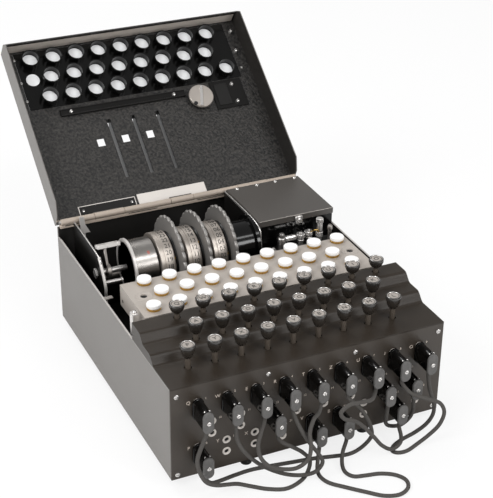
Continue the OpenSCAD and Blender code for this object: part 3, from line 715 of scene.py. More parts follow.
def placed(name, data, axes, at):
    """An object with its local axes along these three vectors and its origin at this point, in metres."""
    place = np.eye(4)
    place[:3, :3] = np.stack(axes, -1)
    place[:3, 3] = at
    obj = bpy.data.objects.new(name, data)
    obj.matrix_world = Matrix(place.tolist())
    bpy.context.scene.collection.objects.link(obj)
    return obj


def camera():
    """The camera solved from the photograph's edges."""
    back = np.array([math.sin(AZIMUTH) * math.cos(ELEVATION), -math.cos(AZIMUTH) * math.cos(ELEVATION),
                     math.sin(ELEVATION)])
    right = np.array([math.cos(AZIMUTH), math.sin(AZIMUTH), 0.0])
    up = np.cross(back, right)
    rolled = (math.cos(ROLL) * right + math.sin(ROLL) * up, -math.sin(ROLL) * right + math.cos(ROLL) * up)
    data = bpy.data.cameras.new("camera")
    data.sensor_fit = "VERTICAL"
    data.sensor_width = SENSOR
    data.sensor_height = SENSOR
    data.lens = SENSOR * FOCAL_PIXELS / PICTURE_HEIGHT
    data.clip_end = 20.0
    bpy.context.scene.camera = placed("camera", data, (*rolled, back), case(CAMERA_AT))


def floor():
    """A pale floor that the camera sees mostly as plain white, with a light shadow left on it."""
    h = FLOOR_HALF
    mesh = bpy.data.meshes.new("floor")
    mesh.from_pydata([(-h, -h, 0), (h, -h, 0), (h, h, 0), (-h, h, 0)], [], [(0, 1, 2, 3)])
    white = bpy.data.materials.new("floor_white")
    white.use_nodes = True
    nodes, links = white.node_tree.nodes, white.node_tree.links
    shader = nodes["Principled BSDF"]
    shader.inputs["Base Color"].default_value = FLOOR_WHITE
    shader.inputs["Roughness"].default_value = 0.9
    glow, blend, seen, part = (nodes.new(kind) for kind in (
        "ShaderNodeEmission", "ShaderNodeMixShader", "ShaderNodeLightPath", "ShaderNodeMath"))
    part.operation = "MULTIPLY"
    part.inputs[1].default_value = FLOOR_GLOW
    links.new(seen.outputs["Is Camera Ray"], part.inputs[0])
    links.new(part.outputs["Value"], blend.inputs["Fac"])
    links.new(shader.outputs["BSDF"], blend.inputs[1])
    links.new(glow.outputs["Emission"], blend.inputs[2])
    links.new(blend.outputs["Shader"], nodes["Material Output"].inputs["Surface"])
    mesh.materials.append(white)
    obj = bpy.data.objects.new("floor", mesh)
    bpy.context.scene.collection.objects.link(obj)
    return obj


def studio_world():
    """The world: plain white for the camera, soft light for everything else."""
    world = bpy.data.worlds.new("world")
    bpy.context.scene.world = world
    world.use_nodes = True
    nodes, links = world.node_tree.nodes, world.node_tree.links
    nodes.clear()
    soft, plain, mix, path, out = (nodes.new(kind) for kind in (
        "ShaderNodeBackground", "ShaderNodeBackground", "ShaderNodeMixShader", "ShaderNodeLightPath",
        "ShaderNodeOutputWorld"))
    for background, strength in ((soft, SOFT_LIGHT), (plain, 1.0)):
        background.inputs["Color"].default_value = (1, 1, 1, 1)
        background.inputs["Strength"].default_value = strength
    links.new(path.outputs["Is Camera Ray"], mix.inputs["Fac"])
    links.new(soft.outputs["Background"], mix.inputs[1])
    links.new(plain.outputs["Background"], mix.inputs[2])
    links.new(mix.outputs["Shader"], out.inputs["Surface"])


def studio_lamp(name, at, aim, size, power):
    """A rectangular lamp at a point, turned to its aim with its long side level."""
    data = bpy.data.lights.new(name, "AREA")
    data.shape = "RECTANGLE"
    data.size, data.size_y = size
    data.energy = power * bpy.context.scene.cipher_settings.light_level
    z = np.array(at, float) - np.array(aim, float)
    z /= np.linalg.norm(z)
    x = np.cross([0, 0, 1], z)
    x /= np.linalg.norm(x)
    return placed(name, data, (x, np.cross(z, x), z), at)


def stage():
    """Sets the finishes, the camera, a pale floor, a white background and soft studio light."""
    all_materials()
    camera()
    ground = floor()
    studio_world()
    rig.stage(ground, *(studio_lamp(*lamp) for lamp in STUDIO_LAMPS))
    bpy.context.scene.view_settings.view_transform = "Standard"


# ---------------------------------------------------------------- plugboard

def plug_at(at):
    """Case x and z of the plug or socket at (row, place in the row)."""
    row, place = at
    return PLUG_X0 + PLUG_PITCH * (place + PLUG_SHIFT[row]), PLUG_Z[row]


def on_panel(part, x, z):
    """A part drawn upwards from z = 0 stands out of the plugboard's face at (x, z)."""
    return moved(part, (x, 0, z), TO_FRONT)


def plug_parts(x, z, turn):
    """One plug: a glossy stadium body, a flange at its foot, a grey fibre end whose slotted screw is turned
    by this angle, two screw heads on top and two pins."""
    # The end screw's slot is a dark bar on its head: painted shade for the recess.
    slot = moved(block((-1.6, -0.25, 25.8), (1.6, 0.25, 25.96), 0.04), (0, 0, 0), spin(turn))
    drawn = [
        (prism(stadium(5.25, PLUG_HALF), 0.8, 3.4, 0.4), "plug_black"),
        (prism(stadium(4.7, 10.2), 3.0, 23.4, 0.5), "plug_black"),
        (prism(stadium(4.9, 10.4), 22.4, 25.0, 0.5), "fibre"),
        (lathe([(2.0, 24.8), (2.0, 25.5), (1.6, 25.9), (0, 25.9)], 24), "bright"),
        (slot, "hole"),
    ]
    parts = [(on_panel(part, x, z), look) for part, look in drawn]
    for dx in (-2.2, 2.2):
        head = lathe([(0.8, 0), (0.8, 0.5), (0, 0.75)], 12)
        parts.append((moved(head, (x + dx, -21.2, z + 10.0)), "bright"))
    for dz in (-PIN_OFFSET, PIN_OFFSET):
        pin = moved(lathe([(1.85, -7.5), (1.85, 1.0)], 24), (0, dz, 0))
        parts.append((on_panel(pin, x, z), "bright"))
    return parts


def lead_points(k):
    """All points of lead k in case coordinates: out of one plug, along its route and up into the other."""
    ends = [np.array([x, LEAD_OUT, z - PLUG_HALF]) for x, z in map(plug_at, LEAD_ENDS[k])]
    drop = np.array([0, 0, -LEAD_DROP])
    return np.array([ends[0], ends[0] + drop, *LEAD_ROUTES[k], ends[1] + drop, ends[1]])


def patch_leads():
    """Builds the eight cloth-covered leads, each a tube along a Catmull-Rom curve through its points."""
    for k in range(len(LEAD_ROUTES)):
        line = smooth_curve(lead_points(k), 8)
        cover = tube(line, LEAD_D / 2, 20)
        lead = piece("patch_lead_%d" % (k + 1), [(cover, "lead_cloth")], "base", "lead_cover",
                     nodes=("patch_leads",))
        path = case(line)
        length = float(np.linalg.norm(np.diff(path, axis=0), axis=1).sum())
        ends = ["plug_%d_%d" % e for e in LEAD_ENDS[k]]
        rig.cord(lead, exit=path[0].tolist(), length=length, diameter=LEAD_D * MM, far_end="plug",
                stiffness="medium", lay="loose", path=path.tolist(),
                with_pieces=[bpy.data.objects[n] for n in ends])


def patch_plugs():
    """Builds the 16 plugs, each with its end screw turned a little further than the last."""
    for n, at in enumerate(PLUGS):
        parts = plug_parts(*plug_at(at), 0.4 * n)
        piece("plug_%d_%d" % at, parts, "base", "plug_black", nodes=("patch_plugs",))


def sockets():
    """Builds the ringed plug sockets with dark bores, and the letter and number beside each pair."""
    ring = lathe([(3.2, -12), (3.9, 0.02), (3.9, 0.5), (3.6, 0.8), (2.7, 0.8), (2.1, 0.4), (2.0, -4.0)], 32)
    # Each bore is a dark cap just under the ring's face: painted shade for the inside of the socket.
    bore_shade = lathe([(2.05, -3.9), (2.05, -0.6), (0, -0.6)], 24)
    parts = []
    number = 0
    for row, row_letters in enumerate(ROWS):
        for i, letter in enumerate(row_letters):
            number += 1
            x, z = plug_at((row, i))
            for dz in (-PIN_OFFSET, PIN_OFFSET):
                parts += [(on_panel(ring, x, z + dz), "socket"), (on_panel(bore_shade, x, z + dz), "hole")]
            parts.append((on_panel(letters(letter, 3.4, 0.05, 0.12), x - 8.2, z + 7.0), "ivory"))
            parts.append((on_panel(letters("%d" % number, 2.2, 0.05, 0.12), x + 7.8, z + 8.0), "ivory"))
    stand_in("plug_sockets", parts, "base", "socket_ring")


# ---------------------------------------------------------------- keys and lamps

def key_parts(letter, row, i):
    """One key: a stem with its stop, a tapered body, a dark ring with a bright rim, and a lettered dial."""
    x0, y, top = KEY_ROW[row]
    stop = COVER_Z[row] - top
    # Radius, and height as a part of the body's depth.
    body = np.array([(2.7, -1.0), (3.4, -0.94), (4.9, -0.72), (6.0, -0.41), (6.5, -0.13), (6.6, 0.0)])
    ring = [(6.0, -3.6), (6.8, -3.4), (7.0, -3.0), (7.0, -0.8), (6.85, -0.3), (6.5, -0.05), (6.1, 0.0),
            (5.9, -0.3), (5.9, -0.6)]
    parts = [
        (lathe([(2.5, -34), (2.5, -10)], 24), "key_stem"),
        (lathe([(4.6, stop - 3.8), (4.6, stop - 1.8)], 24), "key_stem"),
        (lathe(body * (1, KEY_BODY[row]) - (0, 3.3), 40), "key_body"),
        (lathe(ring, 48), "key_ring"),
        (lathe([(5.9, -0.5), (5.9, 0.0), (5.75, 0.08), (5.6, -0.05), (5.5, -0.5)], 48), "bright"),
        (lathe([(5.6, -0.7), (5.5, -0.42), (0, -0.36)], 40), "key_dial"),
        (lathe([(5.0, -0.6), (5.0, -0.3), (4.6, -0.3), (4.6, -0.6)], 40), "ink"),
        (letters(letter, bpy.context.scene.cipher_settings.key_letter, -0.28, 0.1), "ink"),
    ]
    return [(moved(part, (x0 + i * PITCH, y, top)), look) for part, look in parts]


def keys():
    """Builds the 26 lettered keys."""
    for row, row_letters in enumerate(ROWS):
        for i, letter in enumerate(row_letters):
            node = "key_" + letter.lower()
            stand_in(node, key_parts(letter, row, i), node, "key_body")


def lamp_places():
    """The letter and the case x and y of each lamp, row by row."""
    return [(letter, LAMP_ROW[row][0] + i * PITCH, LAMP_ROW[row][1])
            for row, row_letters in enumerate(ROWS) for i, letter in enumerate(row_letters)]


def lamps():
    """Builds the frosted bulbs with flat tops, and their brass screw collars."""
    bulb = lathe([(4.5, -13), (4.5, 2.0), (6.1, 2.15), (6.7, 2.8), (6.8, 3.6), (6.8, 5.0), (6.5, 5.8),
                  (5.7, 6.2), (3.0, 6.38), (0, 6.4)], 40)
    collar = lathe([(5.4, -12), (5.4, 0.1), (6.4, 0.15), (6.6, 0.5), (6.6, 1.0), (6.2, 1.2), (6.2, 1.35),
                    (6.6, 1.55), (6.6, 1.9), (6.3, 2.1), (4.7, 2.1)], 40)
    places = [(x, y, PANEL_Z) for _, x, y in lamp_places()]
    for name, part, look, slot in (
            ("lamp_bulbs", bulb, "bulb", "bulb_glass"), ("lamp_collars", collar, "brass", "brass")):
        stand_in(name, [(moved(part, at), look) for at in places], "base", slot)


# ---------------------------------------------------------------- rotors

def around_x(part, x=0.0):
    """A part drawn with its axis along local z is set on the rotor axle with z along +X."""
    return moved(part, (x, AXIS[1], AXIS[2]), TO_X)


def bored(low, high, rim, sides=96):
    """A disc with the axle's hole from z = low to high, its rim given as (r, z) points from low to high."""
    return lathe([(AXLE_HOLE, low), *rim, (AXLE_HOLE, high), (AXLE_HOLE, low)], sides)


def on_drum(part, x, radius, angle):
    """A part drawn upwards from z = 0 is set on a drum round the axle at x, this angle back from the top."""
    radial = np.array([0, math.sin(angle), math.cos(angle)])
    along = np.array([0, math.cos(angle), -math.sin(angle)])
    turn = np.stack([[1.0, 0, 0], along, radial], -1)
    return moved(part, np.array([x, *AXIS[1:]]) + radius * radial, turn)


def thumbwheel(x):
    """Scalloped wheel with rounded tooth tips, 1.5 mm thick on each side at its middle: its rim's radius is
    42.4 - 1.9 (1 - |cos 13 t|^0.8), and the rings under it lie at the radii and offsets of the table."""
    t = np.linspace(0, 2 * np.pi, 26 * 12, endpoint=False)
    rim = 42.4 - 1.9 * (1 - np.abs(np.cos(13 * t)) ** 0.8)
    # A radius, or an inset from the rim where it is 0 or less, and the offset along the axle.
    rows = ((20.0, -1.5), (34.0, -1.5), (38.5, -1.45), (-0.9, -1.55), (-0.1, -0.8), (0.0, 0.0), (-0.1, 0.8),
            (-0.9, 1.55), (38.5, 1.45), (34.0, 1.5), (20.0, 1.5))
    rings = []
    for r, offset in rows[::-1]:
        radius = np.full_like(t, r) if r > 0 else rim + r
        rings.append(np.stack([radius * np.cos(t), radius * np.sin(t), np.full_like(t, offset)], -1))
    n = len(t)
    k = np.arange(n)
    ahead = (k + 1) % n
    last = (len(rows) - 1) * n
    hole = np.stack([last + k, last + ahead, ahead, k], -1).tolist()
    return around_x((np.concatenate(rings), bands(len(rows) - 1, n) + hole), x)


def ratchet():
    """The 26-toothed ratchet: an outline of four points to a tooth, its steep side 2.3 mm high."""
    radii = np.full(26 * 4, 23.6)
    radii[::4] = 25.9
    radii[2::4] = 24.6
    return prism(polar(radii), 3.0, 4.9)


def rotor(k, name):
    """Rotor k: a wheel with its hub, flange and ratchet, and a ring with 26 numbers and a setting pin."""
    x = WHEEL_X[k]
    wheel = [
        (thumbwheel(x), "wheel_grey"),
        (around_x(bored(-19.4, 6.4, [(19.0, -19.4), (20.0, -18.6), (20.0, 6.4)], 64), x), "old_steel"),
        # A black flange between the ring and the wheel: painted shade for the groove there.
        (around_x(lathe([(24.0, -3.6), (26.5, -3.2), (27.0, -1.7), (24.0, -1.6)], 64), x), "frame_black"),
        (around_x(ratchet(), x), "steel"),
    ]
    stand_in("rotor_%s_wheel" % name, wheel, "rotor_" + name, "wheel_grey")
    band = [(20.05, -19.2), (27.9, -19.2), (28.4, -18.7), (28.4, -15.8), (28.0, -15.5), (28.0, -14.9),
            (28.4, -14.6), (28.4, -5.6), (27.8, -5.0), (26.0, -3.9), (20.05, -3.9), (20.05, -19.2)]
    ring = [(around_x(lathe(band, 104), x), "ring_metal")]
    size = bpy.context.scene.cipher_settings.ring_number
    for number in range(26):
        angle = 2 * math.pi * (number + RING_START[k] + 0.5) / 26
        ring.append((on_drum(letters("%02d" % (number + 1), size, 0.0, 0.2), x - 9.9, 28.42, angle), "ink"))
    pin = lathe([(1.5, 0), (1.5, 0.7), (1.1, 1.0), (0, 1.0)], 20)
    ring.append((on_drum(pin, x - 5.9, 27.2, math.radians(PIN_ANGLE[k])), "brass"))
    stand_in("rotor_%s_ring" % name, ring, "rotor_" + name, "ring_metal")


def rotors():
    """Builds the three rotors, the reflector drum with its flange and mark, and the fixed entry disc."""
    for k, name in enumerate(("left", "middle", "right")):
        rotor(k, name)
    flange = [(24.5, 43), (24.9, 42.5), (27.6, 42.5), (28, 42.9), (28, 44.9), (27.6, 45.3), (24.5, 45.3),
              (24.5, 43)]
    drum = [
        (around_x(bored(45, 67.5, [(25.5, 45), (25.5, 67.0), (25.0, 67.5)])), "bright_drum"),
        (around_x(bored(43, 45, [(24.6, 43), (24.6, 45)])), "lid_black"),
        (around_x(lathe(flange, 96)), "pale_metal"),
        (on_drum(letters("B", 3.4, 0.0, 0.16), 60.0, 25.52, math.radians(-38)), "red_ink"),
    ]
    stand_in("reflector", drum, "reflector", "bright_steel")
    disc = bored(151, 174.2, [(22.4, 151), (23, 151.6), (23, 170.8), (27, 171.0), (27, 174.2)])
    stand_in("entry_disc", [(around_x(disc), "ebonite")], "base", "ebonite")


# ---------------------------------------------------------------- lid

def on_lid(part, x=0.0, y=0.0):
    """A part drawn upwards from z = 0 hangs from the lid's inner face at (x, y)."""
    return moved(part, (x, y, INNER_Z), FLIP)


def slab(x0, y0, x1, y1, height, start=0.0, bevel=0.25):
    """A bevelled plate on the lid's inner face between two corners, from start to height under it."""
    return moved(block((x0, y0, 0), (x1, y1, height - start), bevel), (0, 0, INNER_Z - height))


def screw(r, height, place):
    """A domed screw head and its slot as (part, material) pairs, each set in place by the function given."""
    head = lathe([(r, 0), (r, height * 0.6), (r * 0.8, height * 0.88), (0, height)], 24)
    # The slot is a dark bar on the head: painted shade for its recess.
    slot = block((-r * 0.8, -0.2, height - 0.3), (r * 0.8, 0.2, height + 0.03), 0.02)
    return [(place(head), "bright"), (place(slot), "hole")]


def lid_fittings():
    """Builds the strips, plates, slot linings and screws inside the lid, and the rod of the flap's hinge."""
    parts = [
        (slab(41, 166, 180, 174, 2.0), "lid_black"),
        (slab(41, 166.2, 180, 167.4, 2.9, 1.6, 0.3), "plate_black"),
        (slab(41, 172.6, 180, 173.8, 2.9, 1.6, 0.3), "plate_black"),
        (slab(210, 162, 247, 196, 1.2), "lid_black"),
        (slab(214, 166, 229, 192, 1.9, 1.0, 0.3), "plate_black"),
        (slab(27.5, 277, 88.5, 288.6, 0.7), "pale_plate"),
        (slab(28.4, 277.9, 87.6, 287.7, 0.85, 0.4, 0.1), "plate_black"),
        (slab(91, 275.5, 166, 288.6, 0.6), "pale_plate"),
        (moved(lathe([(1, 20), (1, 245)], 20), (0, 162.2, 122.4), TO_X), "steel"),
    ]
    large = ((256.4, 104), (254, 129), (234.8, 168.7), (234.8, 190.2), (52.2, 170), (167, 170))
    small = ((11, 100), (11, 128), (11, 150), (254, 150))
    for places, r, height in ((large, 2.0, 4.0), (((32, 282.8), (84, 282.8)), 1.5, 1.8), (small, 1.6, 1.6)):
        for x, y in places:
            parts += screw(r, height, lambda part: on_lid(part, x, y))
    # Thin dark strips on both walls of each wheel slot, which leave the wheel 0.2 mm on each side: painted shade,
    # which keeps the narrow slots dark where they are seen through.
    y0, y1 = SLOT_Y
    slot_shade_outline = ((y0, 118.4), (y1, 118.4), (y1, 126.4), (y1 - 4, 129.4), (y0 + 4, 129.4), (y0, 126.4))
    for x in WHEEL_X:
        parts += [(plate_in_yz(x + side, 0.55, slot_shade_outline), "lid_black") for side in (-2.35, 1.8)]
    stand_in("lid_fittings", parts, "lid", "lid_paint", place=opened)


def lock_knob():
    """Builds the lid lock: a disc with a raised grip band inside, a shaft and a slotted head outside."""
    x, y = 194.8, 179.0
    disc = [(3.0, -2.0), (3.0, 3.2), (12.9, 3.2), (13.5, 3.8), (13.5, 6.2), (12.9, 6.9), (0, 7.1)]
    # A raised band in bright metal: a painted highlight across the knob's face.
    band = moved(block((-1.7, -12.6, 6.8), (1.7, 12.6, 8.0), 0.5), (0, 0, 0), spin(math.radians(-16)))
    inside = [
        (lathe(disc, 72), "knob_metal"),
        (band, "bright"),
        # A dark spot on the disc: painted shade for its notch.
        (moved(lathe([(2.2, 6.5), (2.2, 7.16), (0, 7.16)], 24), (-9, -8, 0)), "hole"),
    ]
    outside = [
        (lathe([(2.9, -2), (8, 0), (8, 3.3), (7.3, 4.0), (0, 4.1)], 48), "knob_metal"),
        # The head's slot is a dark bar: painted shade for its recess.
        (block((-0.8, -7, 3.9), (0.8, 7, 4.16), 0.03), "hole"),
    ]
    parts = [(on_lid(part, x, y), look) for part, look in inside]
    parts += [(moved(part, (x, y, LID_Z + 0.3)), look) for part, look in outside]
    stand_in("locking_knob", parts, "locking_knob", "steel", place=opened)


def window_discs():
    """Builds the frosted, lettered discs behind the lamp windows, and the blank one beside them."""
    disc = lathe([(8.3, -0.1), (8.35, 0.5), (7.9, 0.95), (0, 1.0)], 40)
    size = bpy.context.scene.cipher_settings.window_letter
    parts = []
    for letter, x, y in lamp_places():
        parts.append((on_lid(disc, x, y + 0.4), "window"))
        parts.append((moved(letters(letter, size, 0.0, 0.1), (x, y + 0.4, INNER_Z + 0.12)), "ink"))
    parts.append((on_lid(lathe([(7.1, 0.0), (7.1, 0.5), (6.6, 0.6), (0, 0.62)], 40), 24.1, 125.7), "window"))
    stand_in("window_lenses", parts, "lamp_flap", "window_glass", place=opened)


def hinge():
    """Builds the lid's hinge: leaf and knuckles on the back wall, its pin, and the stay at the left end."""
    parts = [
        (block((2, 292.6, 101.8), (263, 296.9, 105.0), 0.5), "hinge_paint"),
        (moved(lathe([(1.5, 2), (1.5, 263)], 24), HINGE, TO_X), "steel"),
    ]
    for x, length in ((3, 35), (70, 50), (145, 50), (230, 32)):
        knuckle = lathe([(2.7, x), (3.0, x + 0.3), (3.0, x + length - 0.3), (2.7, x + length)], 32)
        parts += [
            (moved(knuckle, HINGE, TO_X), "hinge_paint"),
            (block((x, 293.2, 104.6), (x + length, 295.6, 108.0), 0.3), "hinge_paint"),
            (block((x + 4, 292.45, 104.2), (x + length * 0.7, 292.7, 104.9), 0.05), "hole"),
        ]
    stay = [(21.4, 103), (21, 94.6), (31.4, 94.6), (26.6, 104), (25.4, 112.8), (20.4, 113.4)]
    parts += [
        (moved(prism(stay, 0, 1.2, 0.2), (0, 289.6, 0), TO_FRONT), "pale_metal"),
        (block((25, 288.6, 80.5), (26.4, 289.4, 95.2), 0.1), "pale_metal"),
    ]
    stand_in("lid_hinge", parts, "base", "hinge_paint")


# ---------------------------------------------------------------- rotor bearings, terminals, switch

def plate_in_yz(x, thick, outline):
    """A plate across X from an anticlockwise (y, z) outline."""
    return moved(prism(outline, 0, thick, 0.3), (x, 0, 0), TO_X)


def rod(x, length, y, z, r):
    """A rod along X with cut ends."""
    profile = [(r - 0.3, 0), (r, 0.3), (r, length - 0.3), (r - 0.3, length)]
    return moved(lathe(profile, 32), (x, y, z), TO_X)


def bearings():
    """Builds two black bearing plates with bright filed edges, their bars, and the axle with its end nut."""
    left = ((286, 2), (286, 110), (259, 110), (214, 107), (208, 100), (198, 84), (198, 2))
    right = ((283, 2), (283, 113), (209, 113), (196, 99), (196, 2))
    parts = []
    for x, thick, outline in ((13.5, 2, left), (174.8, 2.4, right)):
        parts.append((plate_in_yz(x, thick, outline), "frame_black"))
        edge = np.array([(x + thick / 2, y, z) for y, z in outline[1:]])
        edge[-1, 2] = 60
        parts.append((tube(smooth_curve(edge, 6), 0.75, 10), "bright"))
    front = [(14.6, y, z) for y, z in ((214, 107), (208, 100), (198.6, 84.5), (198.2, 74), (198.2, 60))]
    parts.append((tube(smooth_curve(front, 6), 1.5, 16), "pale_metal"))
    for length, y, z, r in ((159.3, 205, 14, 4), (159.3, 278, 40, 4), (16, 201, 86, 2)):
        parts.append((rod(15.5, length, y, z, r), "steel"))
    parts += screw(2.6, 1.6, lambda part: moved(part, (31.6, 201, 86), TO_X))
    stand_in("rotor_frame", parts, "base", "dark_paint")
    nut = moved(prism(hexagon(5), 0, 2.5, 0.4), (10.5, 217, 89), TO_X)
    axle = [(rod(12.5, 167.5, 217, 89, 3), "steel"), (nut, "bright")]
    stand_in("rotor_axle", axle, "base", "steel")


def release_lever():
    """Builds the reflector's lever: a hub, an arm and a slotted grip bar, leaning back by the grip's tilt."""
    c, s = math.cos(math.radians(GRIP_TILT)), math.sin(math.radians(GRIP_TILT))
    lean = np.array([[1, 0, 0], [0, c, s], [0, -s, c]])
    # The grip's bars lie at this distance from the axle, 4 mm thick.
    low, high = 22.4, 26.4
    hub = bored(22, 26, [(6.6, 22), (7, 22.4), (7, 25.6), (6.6, 26)], 40)
    parts = [
        (moved(hub, (0, 0, 0), TO_X), "old_steel"),
        (block((22, -3, 3.5), (25, 3, 23.4), 0.4), "old_steel"),
    ]
    bars = ((16.2, 25.8, -5, 5), (25.6, 36.2, -5, -1.9), (25.6, 36.2, 1.9, 5), (35.9, 39.2, -5, 5))
    for x0, x1, y0, y1 in bars:
        parts.append((block((x0, y0, low), (x1, y1, high), 0.5), "pale_metal"))
    parts = [(moved(part, AXIS, lean), look) for part, look in parts]
    stand_in("reflector_lever", parts, "reflector_lever", "steel")


def knurled(r, height, ridges=20):
    """A knurled nut: radius r (1 + 0.04 cos(ridges t)), with bevelled ends."""
    t = np.linspace(0, 2 * np.pi, ridges * 4, endpoint=False)
    return prism(polar(r * (1 + 0.04 * np.cos(ridges * t))), 0, height, 0.35)


def terminals():
    """Builds the terminal deck before the battery box, its posts, nuts and wire, and the cover's catch."""
    deck = 84.0
    post = lathe([(3, 0), (3, 6), (2, 6.4), (2, 13), (1.5, 13.6), (0, 13.6)], 24)
    tall_post = lathe([(3, 0), (3, 20), (2.2, 21), (2.2, 22)], 28)
    headed_post = lathe([(2, 0), (2, 15), (2.6, 15.4), (2.6, 19), (1.8, 20), (0, 20)], 24)
    stud = lathe([(1.7, 5), (1.7, 7.4), (1, 8), (0, 8)], 20)
    catch = lathe([(2.2, 0), (2.2, 1.0), (1.6, 1.6), (0, 1.7)], 20)
    parts = [
        (block((182, 166, deck - 2), (262, 207, deck), 0.4), "plate_black"),
        (block((182, 205, 2), (262, 207, deck), 0.4), "lid_black"),
        (block((219, 206.2, 103), (227, 209, 111), 0.6), "bright"),
        (moved(catch, (223, 206.4, 107), TO_FRONT), "bright"),
    ]
    for x, y in ((221, 199), (231, 201)):
        parts += [
            (moved(post, (x, y, deck)), "steel"),
            (moved(knurled(4.2, 4.2), (x, y, deck + 7.6)), "bright"),
            (moved(prism(hexagon(4.2), 0, 2, 0.3), (x, y, deck + 4)), "steel"),
        ]
    parts += [
        (moved(tall_post, (241, 197, deck)), "steel"),
        (moved(knurled(3.6, 5), (241, 197, deck + 6)), "bright"),
        (moved(knurled(3.6, 4.6), (241, 197, deck + 21.2)), "bright"),
        (moved(headed_post, (249, 190, deck)), "old_steel"),
        (moved(knurled(3.3, 5.5), (186, 189, deck)), "steel"),
        (moved(stud, (186, 189, deck)), "bright"),
        (block((205, 178, deck), (236, 184, deck + 1.6), 0.4), "steel"),
    ]
    for x in (209, 220, 232):
        parts += screw(2.2, 2.4, lambda part: moved(part, (x, 181, deck + 1.4)))
    # A short bare wire bent from post to post: half a sine arch.
    t = np.linspace(0, 1, 25)
    arch = np.sin(np.pi * t)
    wire = np.stack([231 + 10 * t, 201 - 4 * t - 5 * arch, deck + 9 + 6 * arch], -1)
    parts.append((tube(wire, 0.8, 12), "brass"))
    stand_in("terminal_posts", parts, "base", "steel")


def power_switch():
    """Builds the rotary switch: a stepped post with a knurled top and a rounded lever."""
    x, y, z = 200.0, 199.0, 84.3
    post = lathe([(4.5, 0), (4.5, 10.8), (3.9, 11.6), (3, 12), (3, 14.6), (2.4, 15.8), (0, 16)], 36)
    arm = stadium(2.4, 8.2)[:, ::-1] * (1, -1)
    lever = prism(arm, 6.2, 11.4, 1.0)
    parts = [(moved(post, (x, y, z)), "steel"), (moved(lever, (x + 8.2, y, z)), "bright")]
    stand_in("power_switch", parts, "power_switch", "steel")


def battery_lid():
    """Builds the battery cover, a satin sheet cover with a worn line along its front edge."""
    x0, x1, y0, y1, top = 179.5, 262.8, 209.0, 289.0, COVER_TOP
    worn = lathe([(0.45, 1), (0.45, x1 - x0 - 1)], 12)
    parts = [
        (block((x0, y0, top - 7), (x1, y1, top), 0.9), "dark_satin"),
        (moved(worn, (x0, y0 + 0.35, top - 0.35), TO_X), "old_steel"),
    ]
    stand_in("battery_cover", parts, "base", "dark_paint")


def fasteners():
    """Builds the battery cover's rivets and the plugboard's screws."""
    rivet = lathe([(1.9, 0), (1.8, 0.5), (1.2, 1.0), (0, 1.15)], 20)
    parts = [(moved(rivet, (x, 285.5, COVER_TOP)), "bright") for x in (190.6, 213.1, 234.4, 256.6)]
    for x, z in ((5.5, 85.5), (90.5, 85.5), (175, 85.5), (259.5, 85.5), (5.5, 5), (259.5, 5)):
        parts += screw(2.2, 1.2, lambda part: on_panel(part, x, z))
    stand_in("fasteners", parts, "base", "steel")


def panel_trim():
    """Builds the pressed rings round the two holes of the lamp panel, the hole in its left face, the wall's
    small bracket, and the angle plate with its screw."""
    ring = lathe([(3.2, -1.2), (3.2, 0.1), (3.6, 0.3), (4.2, 0.3), (4.8, 0.08), (7.4, 0.08), (8.0, 0.35),
                  (8.6, 0.08), (9.0, -0.3), (3.2, -1.2)], 48)
    # A dark disc down in each of the two holes: painted shade for their insides.
    hole_shade = lathe([(3.15, -1.4), (3.15, -1.1), (0, -1.1)], 24)
    parts = []
    for x in (26.4, 237.0):
        parts += [(moved(ring, (x, 127, PANEL_Z)), "panel_paint"), (moved(hole_shade, (x, 127, PANEL_Z)), "hole")]
    parts += [
        # A dark disc for the hole in the left face: painted shade for its inside.
        (moved(lathe([(1.6, -0.5), (1.6, 0.06), (0, 0.06)], 20), (13.9, 148.8, 94.6), TO_LEFT), "hole"),
        (block((1.4, 166, 88.6), (11.0, 171.0, 90), 0.3), "old_steel"),
        (block((4.2, 97, 88), (5.4, 104, 111), 0.3), "pale_metal"),
        (block((4.2, 97, 110), (9.5, 104, 111.2), 0.3), "pale_metal"),
        (moved(lathe([(2.2, 0), (2.2, 1.4), (1.5, 2.2), (0, 2.4)], 20), (7.4, 100.5, 111)), "steel"),
    ]
    piece("panel_trim", parts, "base", "panel_paint")


def finishes():
    """Paints the nodes of the frame that stay in view."""
    for node, look in (
        ("base_case", "case_walls"), ("case_feet", "rubber"), ("key_cover", "cover_paint"),
        ("plugboard_panel", "front_paint"), ("lamp_panel", "panel_paint"), ("battery_box", "ebonite"),
        ("battery", "card"), ("stepping_bar", "old_steel"), ("lid", "lid_walls"), ("lamp_flap", "tube_black"),
    ):
        paint(node, look)


# ---------------------------------------------------------------- settings, operators and panel

def colour_setting(what, default):
    """A colour that the user can change, as linear RGBA."""
    return bpy.props.FloatVectorProperty(
        name=what, description=what + " of the machine", default=default, size=4, min=0.0, max=1.0,
        subtype="COLOR")


def letter_setting(what, default):
    """A height of letters or numbers that the user can change, in mm."""
    return bpy.props.FloatProperty(
        name=what + " height (mm)", description="Height of the " + what.lower() + " in millimetres",
        default=default, min=2.0, max=9.0)


class CIPHER_PG_settings(bpy.types.PropertyGroup):
    """Sizes, colours and light of the cipher machine"""
    key_letter: letter_setting("Key letter", 4.6)
    ring_number: letter_setting("Ring number", 4.6)
    window_letter: letter_setting("Window letter", 7.0)
    case_colour: colour_setting("Case paint", grey(110, 7))
    cover_colour: colour_setting("Key cover paint", grey(39, 13))
    front_colour: colour_setting("Plugboard paint", grey(50, 14))
    panel_colour: colour_setting("Lamp panel paint", grey(160, 15))
    dial_colour: colour_setting("Key dials", grey(156, 14))
    lead_colour: colour_setting("Patch lead cloth", grey(68, 6))
    light_level: bpy.props.FloatProperty(
        name="Light level", description="Factor on the power of every studio lamp", default=1.0, min=0.1,
        max=4.0, subtype="FACTOR")


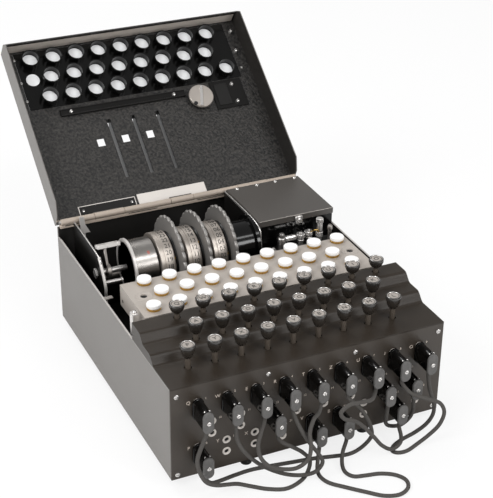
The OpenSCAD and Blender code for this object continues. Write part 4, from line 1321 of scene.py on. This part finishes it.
def operator(build, label):
    """The operator that runs one builder and has its docstring; it raises an error if the builder fails."""
    def execute(self, context):
        try:
            build()
        except Exception as problem:
            raise RuntimeError("%s failed: %s" % (label, problem)) from problem
        return {"FINISHED"}

    name = build.__name__
    return type("CIPHER_OT_" + name, (bpy.types.Operator,), {
        "bl_idname": "cipher." + name, "bl_label": label, "__doc__": build.__doc__, "execute": execute})


OPERATORS = [operator(build, label) for build, label in (
    (stage, "Camera, floor and light"), (patch_plugs, "Patch plugs"), (patch_leads, "Patch leads"),
    (lid_fittings, "Lid fittings"), (lock_knob, "Lid lock"), (window_discs, "Window discs"),
    (hinge, "Lid hinge"), (bearings, "Rotor bearings"), (release_lever, "Reflector lever"),
    (terminals, "Terminals"), (power_switch, "Power switch"), (battery_lid, "Battery cover"),
    (fasteners, "Rivets and screws"), (panel_trim, "Lamp panel trim"), (keys, "Keys"), (lamps, "Lamps"),
    (sockets, "Sockets"), (rotors, "Rotors"), (finishes, "Finishes of the frame"),
)]


class CIPHER_PT_panel(bpy.types.Panel):
    """Lists the settings and the builders of the cipher machine"""
    bl_idname = "CIPHER_PT_panel"
    bl_label = "Cipher machine"
    bl_space_type = "VIEW_3D"
    bl_region_type = "UI"
    bl_category = "Cipher"

    def draw(self, context):
        chosen = context.scene.cipher_settings
        for setting in CIPHER_PG_settings.__annotations__:
            self.layout.prop(chosen, setting)
        for cls in OPERATORS:
            self.layout.operator(cls.bl_idname)


CLASSES = (CIPHER_PG_settings, *OPERATORS, CIPHER_PT_panel)


def register():
    """Registers the settings, the operators and the panel."""
    for cls in CLASSES:
        bpy.utils.register_class(cls)
    bpy.types.Scene.cipher_settings = bpy.props.PointerProperty(type=CIPHER_PG_settings)


def unregister():
    """Takes back what register did."""
    del bpy.types.Scene.cipher_settings
    for cls in reversed(CLASSES):
        bpy.utils.unregister_class(cls)


def main():
    """Builds everything through the operators, in order, and writes the frame's bounds before and after."""
    register()
    for cls in OPERATORS:
        group, name = cls.bl_idname.split(".")
        getattr(getattr(bpy.ops, group), name)()
    sizes = {"start": START_BOUNDS, "end": [list(corner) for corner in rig.bounds()]}
    with open("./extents.json", "w") as out:
        json.dump(sizes, out)


if __name__ == "__main__":
    main()
